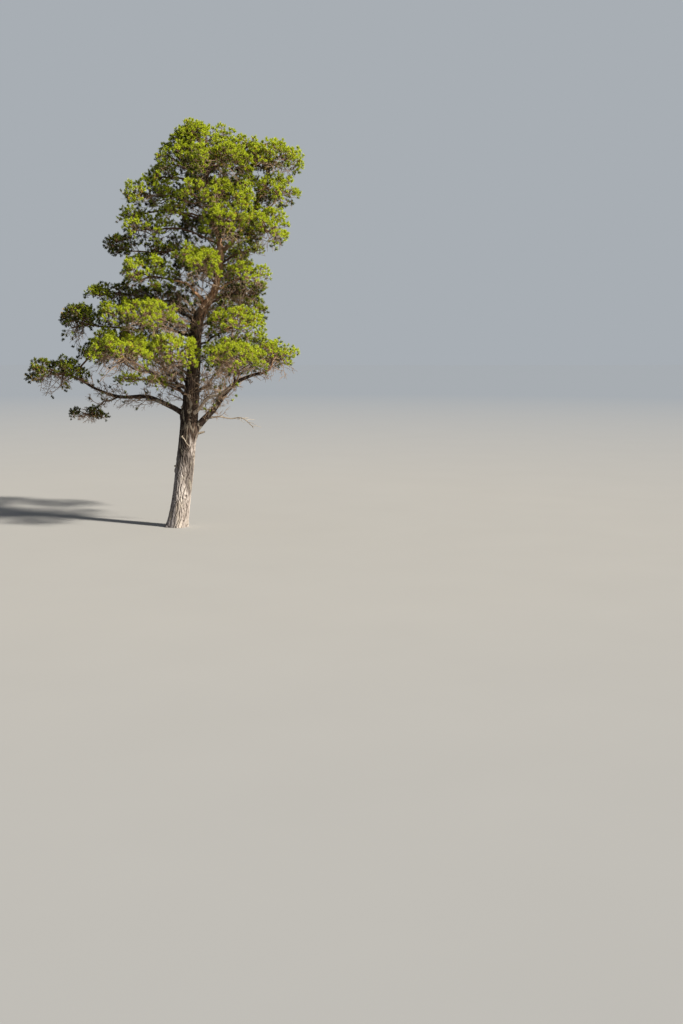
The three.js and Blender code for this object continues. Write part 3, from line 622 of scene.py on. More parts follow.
def grow_spray(spray, foot, shade, crown, roll):
    """The main twig of a spray, and the twigs of its clusters over a dome."""
    sizes = bpy.context.scene.pine_sizes
    base, axis, length = spray["base"], spray["axis"], spray["length"]
    fork = foot["point"].lerp(base, TWIG_FORK)
    inner_tip = base + axis * length * DOME_LIFT
    path = smooth_path([foot["point"], fork, base, inner_tip], 3)
    radii = [foot["hold"], (foot["hold"] + TWIG_NECK) / 2, TWIG_NECK, SPRAY_TIP_RADIUS]
    crown["stems"].append((path, spread_values(radii, len(path))))
    wide = sideways(axis, spray["spin"])
    narrow = axis.cross(wide)
    count = max(FEWEST_CLUSTERS, round(sizes.clusters * spray["size"] ** CLUSTER_SIZE_POWER))
    start_turn = roll() * math.tau
    for index in range(count):
        level = 1 - ((index + FIRST_STEP) / count) * (1 - CLUSTER_LOWEST)
        ring = math.sqrt(1 - level * level)
        turn = start_turn + index * GOLDEN_ANGLE
        across = wide * math.cos(turn) + narrow * math.sin(turn)
        out = across * ring + axis * level
        reach = drawn(roll, CLUSTER_REACHES)
        hub = (inner_tip + across * ring * spray["spread"] * DOME_WIDTH * reach
               + axis * level * length * DOME_HEIGHT * reach)
        way = (out + UP * CLUSTER_UPTURN).normalized()
        hub = hub - way * CLUSTER_INSET * spray["size"]
        leave_share = min(1, max(0, CLUSTER_LEAVE + CLUSTER_LEAVE_RISE * level))
        leave = base + axis * length * DOME_LIFT * leave_share
        bow = (out - UP * CLUSTER_TWIG_SAG) * CLUSTER_TWIG_BOW * (hub - leave).length
        middle = leave.lerp(hub, 0.5) + bow
        crown["twigs"].append(([leave, middle, hub], spread_values(CLUSTER_TWIG, 3)))
        grow_cluster(hub, way, spray, level, shade, crown, roll)


# Branches in the shade, inside and under the crown: mostly bare, some with a last small tuft
BARE_RADII = (0.0084, 0.007)
BARE_TAPER = 0.4
BARE_BOW = 0.14
BARE_TWIGS = 6
BARE_TWIGS_FROM = 0.28
BARE_TWIGS_OVER = 0.7
BARE_TWIG_ALONG = 0.8
BARE_TWIG_UPTURN = 0.15
BARE_TWIG_LENGTHS = (0.2, 0.45)
BARE_TWIG_RADII = (0.0075, 0.004)
KNEE = 0.55
KNEE_BEND = 0.08
MOST_BARE_TIPS = 2
BARE_TIP_FEET = (0.5, 1)
BARE_TIP_SPREAD = 0.9
BARE_TIP_LENGTHS = (0.3, 0.7)
BARE_TIP_RADII = (0.005, 0.003)
FULL_SHARE_HELD = 0.3
INNER_SHOOTS = 3
INNER_LIGHT = (-0.6, 0.0)
INNER_SIZES = (0.8, 1.1)
INNER_UPTURN = 0.8
UNDER_BRANCHES = 13
UNDER_REACHES = (0.4, 0.85)
UNDER_DROP = 0.3
UNDER_DEPTH = 1.5
UNDER_DEPTH_HELD = 1.4
BOUGH_BRANCH_STEP = 0.07
BOUGH_BRANCH_FROM = 0.2
BOUGH_BRANCH_REACHES = (0.3, 0.9)
BOUGH_BRANCH_LOOK = 0.1
BOUGH_BRANCH_WAY = (0.6, 0.8, 0.3)
BOUGH_BRANCH_TAPER = 0.5
TRUNK_BRANCH_STEP = 0.062
TRUNK_BRANCH_FROM = 3.5
TRUNK_BRANCH_CLIMBS = (5, 45)
TRUNK_BRANCH_REACHES = (0.45, 0.95)
TRUNK_BRANCH_SWELL = 0.5
DEAD_TWIGS = 9
DEAD_TWIGS_FROM = 0.52
DEAD_TWIG_HEADINGS = (-50, 50)
DEAD_TWIG_CLIMBS = (-40, 35)
DEAD_TWIG_LENGTHS = (0.16, 0.42)
DEAD_TWIG_BOW = 0.03
DEAD_TWIG_RADII = (0.009, 0.004)
# The curled remnant of a branch on the front of the trunk
CURL = ((0.26, -0.12, 2.76), (0.2, -0.27, 2.74), (0.29, -0.36, 2.66),
        (0.35, -0.37, 2.55), (0.45, -0.34, 2.45))
CURL_RADII = (0.019, 0.017, 0.015, 0.012, 0.007)
LEAST_HELD = 0.02
MORE_ON_BOUGHS = 0.05
MOST_HELD = 0.4
HELD_FROM = 5.2
HELD_TO = 8.4


def share_held(height):
    """The share of the shaded twigs that still hold needles, more of them towards the top."""
    rise = (height - HELD_FROM) / (HELD_TO - HELD_FROM)
    return LEAST_HELD + (MOST_HELD - LEAST_HELD) * min(1, max(0, rise))


def grow_bare_branch(start, end, holds, crown, roll):
    """A thin branch whose side twigs are bare, apart from the share that holds tufts."""
    reach = end - start
    length = reach.length
    axis = reach.normalized()
    bow = any_side(axis, roll) * length * BARE_BOW * roll()
    path = smooth_path([start, start.lerp(end, 0.5) + bow, end], 3)
    thick = BARE_RADII[0] + BARE_RADII[1] * length
    crown["bare"].append((path, spread_values((thick, thick * BARE_TAPER), len(path))))
    ends = [(end, axis)]
    for index in range(BARE_TWIGS):
        foot = point_along(path, BARE_TWIGS_FROM + BARE_TWIGS_OVER * (index + roll()) / BARE_TWIGS)
        way = (axis * BARE_TWIG_ALONG + any_side(axis, roll) + UP * BARE_TWIG_UPTURN).normalized()
        tip = foot + way * length * drawn(roll, BARE_TWIG_LENGTHS)
        long = (tip - foot).length
        knee = foot.lerp(tip, KNEE) + (UP * 0.5 - axis) * KNEE_BEND * long
        crown["bare"].append(([foot, knee, tip], spread_values(BARE_TWIG_RADII, 3)))
        ends.append((tip, way))
        for _ in range(MOST_BARE_TIPS if holds < FULL_SHARE_HELD else 1):
            fork = foot.lerp(knee, drawn(roll, BARE_TIP_FEET))
            side = (way + any_side(way, roll) * BARE_TIP_SPREAD).normalized()
            fork_end = fork + side * long * drawn(roll, BARE_TIP_LENGTHS)
            crown["bare"].append(([fork, fork_end], BARE_TIP_RADII))
    for tip, way in ends:
        if roll() < holds:
            axis = (way + UP * INNER_UPTURN).normalized()
            light = light_on(axis, 0, drawn(roll, INNER_LIGHT))
            grow_tuft(tip, axis, drawn(roll, INNER_SIZES), INNER_SHOOTS, light, crown, roll)


def grow_under_branches(nodes, middle, half, crown, roll):
    """Branches under a mass, where the shade has killed the needles."""
    for _ in range(UNDER_BRANCHES):
        start = nodes[int(roll() * STEM_NODES)]["point"]
        turn = roll() * math.tau
        reach = drawn(roll, UNDER_REACHES)
        held = share_held(start.z)
        depth = UNDER_DROP + (UNDER_DEPTH - UNDER_DEPTH_HELD * held) * roll()
        end = middle + Vector((
            half.x * reach * math.cos(turn), half.y * reach * math.sin(turn), -half.z * depth))
        grow_bare_branch(start, end, held, crown, roll)


def grow_bough_branches(crown):
    """Branches that rise and spread from the boughs towards the masses over them."""
    ahead, aside, upward = BOUGH_BRANCH_WAY
    for order, (name, path) in enumerate(bough_paths().items()):
        if name == DEAD:
            continue
        roll = dice(order + 2001)
        length = sum((after - before).length for before, after in zip(path, path[1:]))
        count = round(length * (1 - BOUGH_BRANCH_FROM) / BOUGH_BRANCH_STEP)
        for index in range(count):
            share = BOUGH_BRANCH_FROM + (1 - BOUGH_BRANCH_FROM) * (index + roll()) / count
            start = point_along(path, share)
            before = point_along(path, share - BOUGH_BRANCH_LOOK)
            after = point_along(path, min(1, share + BOUGH_BRANCH_LOOK))
            along = (after - before).normalized()
            way = (along * ahead + any_side(along, roll) * aside + UP * upward).normalized()
            reach = drawn(roll, BOUGH_BRANCH_REACHES) * (1 - BOUGH_BRANCH_TAPER * share)
            grow_bare_branch(start, start + way * reach, share_held(start.z) + MORE_ON_BOUGHS, crown, roll)


def grow_dead_end(crown):
    """The broken twigs on the outer end of the dead branch."""
    roll = dice(4001)
    path = bough_paths()[DEAD]
    for index in range(DEAD_TWIGS):
        start = point_along(path, DEAD_TWIGS_FROM + (1 - DEAD_TWIGS_FROM) * index / DEAD_TWIGS)
        way = direction(drawn(roll, DEAD_TWIG_HEADINGS), drawn(roll, DEAD_TWIG_CLIMBS))
        end = start + way * drawn(roll, DEAD_TWIG_LENGTHS)
        twig = smooth_path([start, start.lerp(end, 0.5) + UP * DEAD_TWIG_BOW, end], 2)
        crown["dead"].append((twig, spread_values(DEAD_TWIG_RADII, len(twig))))


def grow_trunk_branches(crown):
    """Branches round the trunk through the crown, bare low down and with tufts higher up."""
    roll = dice(3001)
    for index, height in enumerate(np.arange(TRUNK_BRANCH_FROM, TRUNK_TIP - 0.4, TRUNK_BRANCH_STEP)):
        start, radius = trunk_at(height)
        way = direction(math.degrees(index * GOLDEN_ANGLE), drawn(roll, TRUNK_BRANCH_CLIMBS))
        share = (TRUNK_TIP - height) / (TRUNK_TIP - TRUNK_BRANCH_FROM)
        length = radius + drawn(roll, TRUNK_BRANCH_REACHES) + TRUNK_BRANCH_SWELL * math.sin(math.pi * share)
        grow_bare_branch(start, start + way * length, share_held(height), crown, roll)


@functools.cache
def grown_crown():
    """Limbs and shoots of every mass, by the source's rule and then finer.

    A limb is a path and a radius for each point on it. A shoot is where it starts, its axis, turn and size.
    """
    crown = {kind: [] for kind in ("stems", "twigs", "bare", "dead")}
    crown["shoots"] = {tint: [] for tint in TINTS}
    for order, (stem, middle, half, shade) in enumerate([*MASSES.values(), *JOINS]):
        middle, half = Vector(middle), Vector(half)
        roll = dice(order + 1001)
        path = stem_path(stem, middle, half)
        radii = stem_radii(stem)
        finer = smooth_path(path, 4)
        crown["stems"].append((finer, spread_values(radii, len(finer))))
        nodes = stem_nodes(path, radii)
        places = spray_places(middle, half, order)
        for spray in spray_places(middle, half * BETWEEN_SPACE, order, BETWEEN_SEED):
            places.append({
                **spray, "size": spray["size"] * BETWEEN_SIZE, "spread": spray["spread"] * BETWEEN_SIZE})
        for spray in places:
            foot = twig_foot(nodes, spray["base"])
            grow_spray(spray, foot, shade, crown, roll)
            foot["used"] += 1
            hold = foot["hold"] + (TWIG_NECK - foot["hold"]) * TWIG_FORK
            nodes.append({
                "point": foot["point"].lerp(spray["base"], TWIG_FORK),
                "hold": hold * ROOT_SHARE / 2,
                "run": foot["run"] + (spray["base"] - foot["point"]).length * TWIG_FORK,
                "used": 0,
            })
        if order < len(MASSES):
            grow_under_branches(nodes, middle, half, crown, roll)
    grow_bough_branches(crown)
    grow_trunk_branches(crown)
    grow_dead_end(crown)
    curl = smooth_path([Vector(point) for point in CURL], 4)
    crown["dead"].append((curl, spread_values(CURL_RADII, len(curl))))
    return crown


# Bark relief

# How the edges of the plates sway: how far, turns round the limb, and turns up a plate
PLATE_SWAYS = ((0.22, 3, 0.7), (0.16, 7, -1.9))
PLATE_SPOTS = (0.1, 0.9)
RIPPLES = 9
RIPPLE_TURNS = (3, 26)
RIPPLE_RISES = (-5, 5)
RIPPLE_WHOLE = 5


def bark_plates(around, along, girth, columns, plate_height, seed):
    """0 at the bottom of a fissure and 1 on a plate. Around goes from 0 to 1, along is in metres."""
    places = np.random.default_rng(seed)
    rows = int(along.max() / plate_height) + 6
    jitter = places.uniform(*PLATE_SPOTS, (rows, columns, 2))
    sway = sum(far * np.sin(math.tau * (turns * around + rise * along / plate_height))
               for far, turns, rise in PLATE_SWAYS)
    u = around * columns + sway
    v = along / plate_height + 2
    nearest = np.full(u.shape, 9.0)
    second = np.full(u.shape, 9.0)
    for row_step in (-1, 0, 1):
        for column_step in (-1, 0, 1):
            row = np.floor(v).astype(int) + row_step
            column = np.floor(u).astype(int) + column_step
            spot = jitter[np.clip(row, 0, rows - 1), column % columns]
            distance = np.hypot(column + spot[..., 0] - u, row + spot[..., 1] - v)
            second = np.where(distance < nearest, nearest, np.minimum(second, distance))
            nearest = np.minimum(nearest, distance)
    gap = second - nearest
    upward = np.gradient(gap, along[:, 0], axis=0)
    column_width = girth / gap.shape[1]
    sideward = (np.roll(gap, -1, axis=1) - np.roll(gap, 1, axis=1)) / (2 * column_width)
    return gap / np.maximum(np.hypot(upward, sideward), 1)


def ripple(around, along, seed):
    """Small uneven waves, longer up the limb than round it, from about -1 to 1."""
    places = np.random.default_rng(seed)
    total = np.zeros(around.shape)
    for _ in range(RIPPLES):
        turns = int(places.integers(*RIPPLE_TURNS))
        rise = places.uniform(*RIPPLE_RISES)
        total += np.sin(math.tau * (turns * around + rise * along + places.uniform()))
    return total / RIPPLE_WHOLE


def tube_faces(rings, sides):
    """Quads between rings of points, and a flat face at each end."""
    ring = np.arange(rings - 1)[:, None] * sides
    here = np.arange(sides)[None, :]
    beside = (here + 1) % sides
    quads = np.stack([ring + here, ring + beside, ring + beside + sides, ring + here + sides], axis=-1)
    faces = quads.reshape(-1, 4).tolist()
    faces.append(list(range(sides))[::-1])
    faces.append(list(range((rings - 1) * sides, rings * sides)))
    return faces


def placed(name, data):
    """A new object in the scene, at the origin."""
    thing = bpy.data.objects.new(name, data)
    bpy.context.scene.collection.objects.link(thing)
    return thing


def keep_values(mesh, name, values, kind="FLOAT"):
    """Keeps a value or a vector for each point of a mesh."""
    field = "vector" if kind == "FLOAT_VECTOR" else "value"
    mesh.attributes.new(name, kind, "POINT").data.foreach_set(field, np.asarray(values, np.float32).ravel())


def bark_object(name, parts, material):
    """One object from tubes of points, each with its relief from 0 to 1 at every point."""
    points, faces, relief = [], [], []
    first = 0
    for rings, values in parts:
        count, sides, _ = rings.shape
        points.append(rings.reshape(-1, 3))
        relief.append(values.reshape(-1))
        faces.extend([[corner + first for corner in face] for face in tube_faces(count, sides)])
        first += count * sides
    mesh = bpy.data.meshes.new(name)
    mesh.from_pydata(np.concatenate(points).tolist(), [], faces)
    keep_values(mesh, "relief", np.concatenate(relief))
    mesh.shade_smooth()
    mesh.materials.append(material)
    return placed(name, mesh)


TRUNK_COLUMNS = 168
TRUNK_FINE_STEP = 0.018
TRUNK_COARSE_STEP = 0.032
TRUNK_FINE_TO = 6.6
# The trunk's section: how far from round, how many small plates in the height of a large one, where
# the old bark gives way to the young, and the level of relief that lies on the radius
OUT_OF_ROUND = 0.03
SMALL_PLATE_PARTS = 2.4
OLD_BARK_HEIGHTS = (3.4, 7.4)
PLATE_LEVEL = 0.75
WAVE_SHARE = 0.25
PLATE_SEED = 5
SMALL_PLATE_SEED = 6
WAVE_SEED = 7
# The depth of a fissure: the least share of it, between which waves it grows to the whole, that of a
# small fissure in old bark, and the level that is left in one in young bark
LEAST_FISSURE = 0.6
FISSURE_WAVES = (-0.7, 0.6)
SMALL_FISSURE = 0.16
YOUNG_FISSURE = 0.4
# The swelling of the trunk round a bough's foot, in thicknesses of the bough
COLLAR_SWELL = 0.75
COLLAR_REACH = 2.1
COLLAR_OUT = 1.1
# Bark of the limbs
LIMB_FACET = 0.021
LIMB_SIDES = (10, 34)
LIMB_PLATE_WIDTH = 0.05
LIMB_PLATE_HEIGHT = 0.14
LIMB_BARK_SHARE = 0.13
LIMB_PLATE_LEVEL = 0.6
LIMB_WAVE_SHARE = 0.35
FLARE_REACH = 2.2
STUB_STEPS = 12

# Knots: height, heading, size and how far the rim swells
KNOTS = [
    (3.3, 280, 0.075, 0.03),
    (1.72, 195, 0.06, 0.03),
    (0.95, 300, 0.07, 0.022),
    (2.1, 330, 0.06, 0.024),
    (2.3, 120, 0.07, 0.026),
    (1.2, 60, 0.08, 0.024),
    (4.5, 250, 0.06, 0.02),
]


def trunk_relief(around, along, girth):
    """Plates, waves and the share of old bark at every point of the trunk."""
    sizes = bpy.context.scene.pine_sizes
    columns = round(girth[0, 0] / sizes.plate_width)
    small_height = sizes.plate_height / SMALL_PLATE_PARTS
    waves = ripple(around, along, WAVE_SEED)
    large = bark_plates(around, along, girth, columns, sizes.plate_height, PLATE_SEED)
    small = bark_plates(around, along, girth, columns, small_height, SMALL_PLATE_SEED)
    large = smooth_step(large, 0.004, 0.024)
    small = smooth_step(small, 0.001, 0.008)
    depth = LEAST_FISSURE + (1 - LEAST_FISSURE) * smooth_step(waves, *FISSURE_WAVES)
    old = 1 - (1 - large) * depth - SMALL_FISSURE * (1 - small)
    young = YOUNG_FISSURE + (1 - YOUNG_FISSURE) * small
    age = 1 - smooth_step(along, *OLD_BARK_HEIGHTS)
    return np.clip(old * age + young * (1 - age), 0, 1), waves, age


def swell_at_boughs(points, outward):
    """Moves the trunk's points outward round the foot of each bough that leaves it."""
    for parent, leaves, tip, climb, _, thick, _ in BOUGHS.values():
        if parent == "trunk":
            middle, reach = trunk_at(leaves)
            way = direction(heading_of(middle, Vector(tip)), climb)
            collar = np.array(middle + way * reach * COLLAR_OUT)
            away = np.linalg.norm(points - collar, axis=-1, keepdims=True)
            points += outward * thick * COLLAR_SWELL * np.exp(-(away / (thick * COLLAR_REACH)) ** 2)


def swell_at_knots(points, outward, plates):
    """Moves the trunk's points outward in the rims of the knots, and gives the plates with their hollows."""
    for height, heading, size, rim in KNOTS:
        middle, reach = trunk_at(height)
        away = np.linalg.norm(points - np.array(middle + direction(heading, 0) * reach), axis=-1) / size
        swell = rim * (np.exp(-(away - 0.9) ** 2 / 0.18) - 0.8 * np.exp(-(away / 0.55) ** 2))
        points += outward * swell[..., None]
        plates = plates * (1 - 0.7 * np.exp(-(away / 0.5) ** 2))
    return plates


def trunk_tube():
    """Rings of the trunk with its root toes, swellings under the boughs, knots and plates."""
    sizes = bpy.context.scene.pine_sizes
    heights = np.concatenate([
        np.arange(0, TRUNK_FINE_TO, TRUNK_FINE_STEP),
        np.arange(TRUNK_FINE_TO, TRUNK_TIP, TRUNK_COARSE_STEP),
        [TRUNK_TIP],
    ])
    values = trunk_values(heights)
    turn = np.linspace(0, math.tau, TRUNK_COLUMNS, endpoint=False)[None, :]
    up = heights[:, None]
    fade = np.exp(-up / ROOT_FLARE_FADE)
    toes = 1 - TOE_DEPTH + TOE_DEPTH * np.cos(ROOT_TOES * turn + TOE_TURN)
    lean = 1 - FLARE_LEAN * np.cos(turn)
    radius = values[:, 2:] * (1 + OUT_OF_ROUND * np.sin(3 * turn + 2 * up) * np.cos(2 * up + turn))
    radius = radius + ROOT_FLARE * fade * toes * lean
    around = np.broadcast_to(turn / math.tau, radius.shape)
    along = np.broadcast_to(up, radius.shape)
    plates, waves, age = trunk_relief(around, along, math.tau * values[:, 2:])
    depth = sizes.crown_bark_depth + (sizes.bark_depth - sizes.crown_bark_depth) * age
    radius = radius + depth * (plates - PLATE_LEVEL) + depth * WAVE_SHARE * waves
    points = np.stack([values[:, :1] + radius * np.cos(turn), values[:, 1:2] + radius * np.sin(turn),
                       np.broadcast_to(up, radius.shape)], axis=-1)
    outward = np.stack([np.cos(turn), np.sin(turn), np.zeros_like(turn)], axis=-1)
    swell_at_boughs(points, outward)
    plates = swell_at_knots(points, outward, plates)
    return points, plates


def limb_tube(path, radii, seed, flare=0.0):
    """Rings of a bark-covered limb along a path, wider at the foot by the flare."""
    radii = np.asarray(radii)
    thick = radii.max()
    sides = int(np.clip(round(math.tau * thick / LIMB_FACET), *LIMB_SIDES))
    centres = np.array([tuple(point) for point in path])
    steps = np.linalg.norm(np.diff(centres, axis=0), axis=1)
    run = np.concatenate([[0], np.cumsum(steps)])
    turn = np.linspace(0, math.tau, sides, endpoint=False)
    around = np.broadcast_to(turn[None, :] / math.tau, (len(path), sides))
    along = np.broadcast_to(run[:, None], around.shape)
    columns = max(4, round(math.tau * thick / LIMB_PLATE_WIDTH))
    girth = math.tau * radii[:, None]
    plates = smooth_step(
        bark_plates(around, along, girth, columns, LIMB_PLATE_HEIGHT, seed), 0.001, 0.01)
    depth = LIMB_BARK_SHARE * radii[:, None]
    waves = ripple(around, along * 0.6, seed + 50)
    swollen = radii[:, None] * (1 + flare * np.exp(-along / (thick * FLARE_REACH)))
    reach = swollen + depth * (plates - LIMB_PLATE_LEVEL) + depth * LIMB_WAVE_SHARE * waves
    across = Vector((1, 1, 3))
    rings = []
    for index, point in enumerate(path):
        before = path[max(index - 1, 0)]
        after = path[min(index + 1, len(path) - 1)]
        axis = (after - before).normalized()
        across = (across - axis * across.dot(axis)).normalized()
        third = axis.cross(across)
        ring = (np.array(point)[None, :]
                + np.array(across)[None, :] * (np.cos(turn) * reach[index])[:, None]
                + np.array(third)[None, :] * (np.sin(turn) * reach[index])[:, None])
        rings.append(ring)
    return np.array(rings), plates


def bough_tube(name):
    """Rings of one bough, flared where it leaves the trunk."""
    order = list(BOUGHS).index(name)
    parent, _, tip, climb, arrive, thick, thin = BOUGHS[name]
    start = bough_paths()[name][0]
    path = limb_path(start, Vector(tip), climb, arrive, order, finer=16)
    return limb_tube(path, limb_radii(thick, thin, len(path)), order + 20,
                     BOUGH_FLARE if parent == "trunk" else 0)


def stub_tube(order, height, heading, length, radius):
    """A snapped branch: a short limb with a ragged end."""
    middle, reach = trunk_at(height)
    way = direction(heading, STUB_LIFT)
    inside = reach * 0.5
    path = [middle + way * (inside + (inside + length) * step / STUB_STEPS) for step in range(STUB_STEPS + 1)]
    radii = radius * (1.5 - 0.75 * np.linspace(0, 1, STUB_STEPS + 1))
    rings, plates = limb_tube(path, radii, order + 80)
    ragged = np.random.default_rng(order).uniform(0, min(radius * 1.3, length * 0.7), rings.shape[1])
    rings[-1] -= np.array(way)[None, :] * ragged[:, None]
    return rings, plates


# Node trees

def socket_of(sockets, name):
    """A node's socket by its identifier, or by its name where no identifier matches."""
    by_identifier = [socket for socket in sockets if socket.identifier == name]
    return by_identifier[0] if by_identifier else sockets[name]


def feed(tree, socket, value):
    """Links a socket to another socket or to a node's first output, or sets it to a plain value."""
    if isinstance(value, bpy.types.Node):
        value = value.outputs[0]
    if isinstance(value, bpy.types.NodeSocket):
        tree.links.new(value, socket)
    else:
        socket.default_value = value


def node(tree, kind, values=None, **settings):
    """A new node with its settings, and its inputs fed by name."""
    made = tree.nodes.new(kind)
    for name, value in settings.items():
        setattr(made, name, value)
    for name, value in (values or {}).items():
        feed(tree, socket_of(made.inputs, name), value)
    return made


def maths(tree, operation, *values):
    """The result of a Math node on its values."""
    names = ("Value", "Value_001", "Value_002")
    return node(tree, "ShaderNodeMath", dict(zip(names, values)), operation=operation).outputs["Value"]


def vector_maths(tree, operation, *values):
    """The result of a Vector Math node on its values, which is a number for a length."""
    names = ("Vector", "Vector_001", "Vector_002")
    made = node(tree, "ShaderNodeVectorMath", dict(zip(names, values)), operation=operation)
    return made.outputs["Value" if operation == "LENGTH" else "Vector"]


def vector_of(tree, **parts):
    return node(tree, "ShaderNodeCombineXYZ", parts).outputs["Vector"]


def new_tree(kind, name, inputs, outputs):
    """A node group with named inputs and outputs, and its two end nodes."""
    tree = bpy.data.node_groups.new(name, kind)
    for in_out, sockets in (("OUTPUT", outputs), ("INPUT", inputs)):
        for socket, value in sockets.items():
            tree.interface.new_socket(socket, in_out=in_out, socket_type=f"NodeSocket{value}")
    return tree, tree.nodes.new("NodeGroupInput"), tree.nodes.new("NodeGroupOutput")


def geometry_tree(name, inputs):
    return new_tree("GeometryNodeTree", name, inputs, {"Geometry": "Geometry"})


def attribute(tree, name, kind="FLOAT"):
    named = node(tree, "GeometryNodeInputNamedAttribute", {"Name": name}, data_type=kind)
    return named.outputs["Attribute"]


def along_axis(tree, points, instance, **choice):
    """Instances on points, each turned along the point's axis and scaled by its size."""
    aligned = node(tree, "FunctionNodeAlignRotationToVector", {
        "Vector": attribute(tree, "axis", "FLOAT_VECTOR")}, axis="Z")
    own_turn = node(tree, "FunctionNodeAxisAngleToRotation", {
        "Axis": (0, 0, 1), "Angle": attribute(tree, "turn")})
    whole_turn = node(tree, "FunctionNodeRotateRotation", {
        "Rotation": aligned, "Rotate By": own_turn}, rotation_space="LOCAL")
    return node(tree, "GeometryNodeInstanceOnPoints", {
        "Points": points, "Instance": instance, "Rotation": whole_turn,
        "Scale": attribute(tree, "size"), **choice})


def finished(tree, given, made, instances):
    """Ends a tree: instances made real, in the given material."""
    real = node(tree, "GeometryNodeRealizeInstances", {"Geometry": instances})
    finish = node(tree, "GeometryNodeSetMaterial", {
        "Geometry": real, "Material": given.outputs["Material"]})
    feed(tree, made.inputs["Geometry"], finish)
    return tree


@functools.cache
def limb_tree():
    """Sweeps a round section along every path, as thick as the thickness attribute says."""
    tree, given, made = geometry_tree("Swept limbs", {
        "Geometry": "Geometry", "Sides": "Int", "Material": "Material"})
    curve = node(tree, "GeometryNodeMeshToCurve", {"Mesh": given.outputs["Geometry"]})
    section = node(tree, "GeometryNodeCurvePrimitiveCircle", {
        "Resolution": given.outputs["Sides"], "Radius": 1})
    swept = node(tree, "GeometryNodeCurveToMesh", {
        "Curve": curve, "Profile Curve": section, "Scale": attribute(tree, "thickness"), "Fill Caps": True})
    return finished(tree, given, made, node(tree, "GeometryNodeSetShadeSmooth", {"Geometry": swept}))


NEEDLE_SPLAY = 8
NEEDLE_ROLL = 38
LOWEST_RISE = 18
HIGHEST_RISE = 68
SHOOT_BARE = 0.2
SHOOT_SOCKETS = {"Needle Length": "Float", "Needle Width": "Float", "Pairs": "Int", "Shoot Length": "Float"}


@functools.cache
def shoot_tree():
    """One shoot along +Z: pairs of needles up its outer part, each pair on its own turn."""
    tree, given, made = geometry_tree("Needle shoot", {**SHOOT_SOCKETS, "Seed": "Int"})
    length, width, pairs, shoot, seed = [given.outputs[name] for name in (*SHOOT_SOCKETS, "Seed")]

    def chance(low, high, step):
        value = node(tree, "FunctionNodeRandomValue", {
            "Min_001": low, "Max_001": high, "Seed": maths(tree, "ADD", seed, step)}, data_type="FLOAT")
        return socket_of(value.outputs, "Value_001")

    blank = node(tree, "GeometryNodeMeshCircle", {"Vertices": 3, "Radius": 1}, fill_type="NGON")
    long = maths(tree, "DIVIDE", length, 1.5)
    wide = maths(tree, "DIVIDE", width, math.sqrt(3))
    needle = node(tree, "GeometryNodeTransform", {
        "Geometry": blank, "Scale": vector_of(tree, X=long, Y=wide, Z=1),
        "Translation": vector_of(tree, X=maths(tree, "DIVIDE", length, 3))})
    pair = node(tree, "GeometryNodeJoinGeometry")
    for side in (-1, 1):
        feed(tree, pair.inputs["Geometry"], node(tree, "GeometryNodeTransform", {
            "Geometry": needle,
            "Rotation": (math.radians(NEEDLE_ROLL) * side, 0, math.radians(NEEDLE_SPLAY) * side)}))
    low = maths(tree, "MULTIPLY", shoot, SHOOT_BARE)
    step = maths(tree, "DIVIDE", maths(tree, "MULTIPLY", shoot, 1 - SHOOT_BARE), pairs)
    places = node(tree, "GeometryNodeMeshLine", {
        "Count": pairs, "Start Location": vector_of(tree, Z=low),
        "Offset": vector_of(tree, Z=step)}, mode="OFFSET")
    index = node(tree, "GeometryNodeInputIndex")
    share = maths(tree, "DIVIDE", index, pairs)
    rise = maths(tree, "ADD", maths(tree, "MULTIPLY", share, -math.radians(HIGHEST_RISE - LOWEST_RISE)),
                 -math.radians(LOWEST_RISE))
    tilt = maths(tree, "ADD", rise, chance(-0.22, 0.22, 1))
    spin = maths(tree, "ADD", maths(tree, "MULTIPLY", index, GOLDEN_ANGLE), chance(-0.3, 0.3, 2))
    turn = node(tree, "FunctionNodeEulerToRotation", {
        "Euler": vector_of(tree, X=chance(-0.9, 0.9, 3), Y=tilt, Z=spin)})
    grown = node(tree, "GeometryNodeInstanceOnPoints", {
        "Points": places, "Instance": pair, "Rotation": turn, "Scale": chance(0.8, 1.12, 4)})
    feed(tree, made.inputs["Geometry"], node(tree, "GeometryNodeRealizeInstances", {"Geometry": grown}))
    return tree


SHOOT_FORMS = 4


@functools.cache
def shoot_wood_tree():
    """Puts a slim three-sided cone on every point, the wood of its shoot."""
    tree, given, made = geometry_tree("Wood of shoots", {
        "Geometry": "Geometry", "Shoot Length": "Float", "Radius": "Float", "Material": "Material"})
    cone = node(tree, "GeometryNodeMeshCone", {
        "Vertices": 3, "Radius Top": 0, "Radius Bottom": given.outputs["Radius"],
        "Depth": given.outputs["Shoot Length"]}, fill_type="NGON")
    return finished(tree, given, made, along_axis(tree, given.outputs["Geometry"], cone))


@functools.cache
def needle_tree():
    """Puts one of a few forms of shoot on every point, along its axis attribute."""
    tree, given, made = geometry_tree("Needles on shoots", {
        "Geometry": "Geometry", **SHOOT_SOCKETS, "Seed": "Int", "Material": "Material"})
    forms = node(tree, "GeometryNodeGeometryToInstance")
    for form in range(SHOOT_FORMS):
        shoot = node(tree, "GeometryNodeGroup", node_tree=shoot_tree())
        for name in SHOOT_SOCKETS:
            feed(tree, shoot.inputs[name], given.outputs[name])
        shoot.inputs["Seed"].default_value = 11 * form + 1
        feed(tree, forms.inputs["Geometry"], shoot)
    pick = node(tree, "FunctionNodeRandomValue", {
        "Min_002": 0, "Max_002": SHOOT_FORMS - 1, "Seed": given.outputs["Seed"]}, data_type="INT")
    return finished(tree, given, made, along_axis(tree, given.outputs["Geometry"], forms, **{
        "Pick Instance": True, "Instance Index": socket_of(pick.outputs, "Value_002")}))


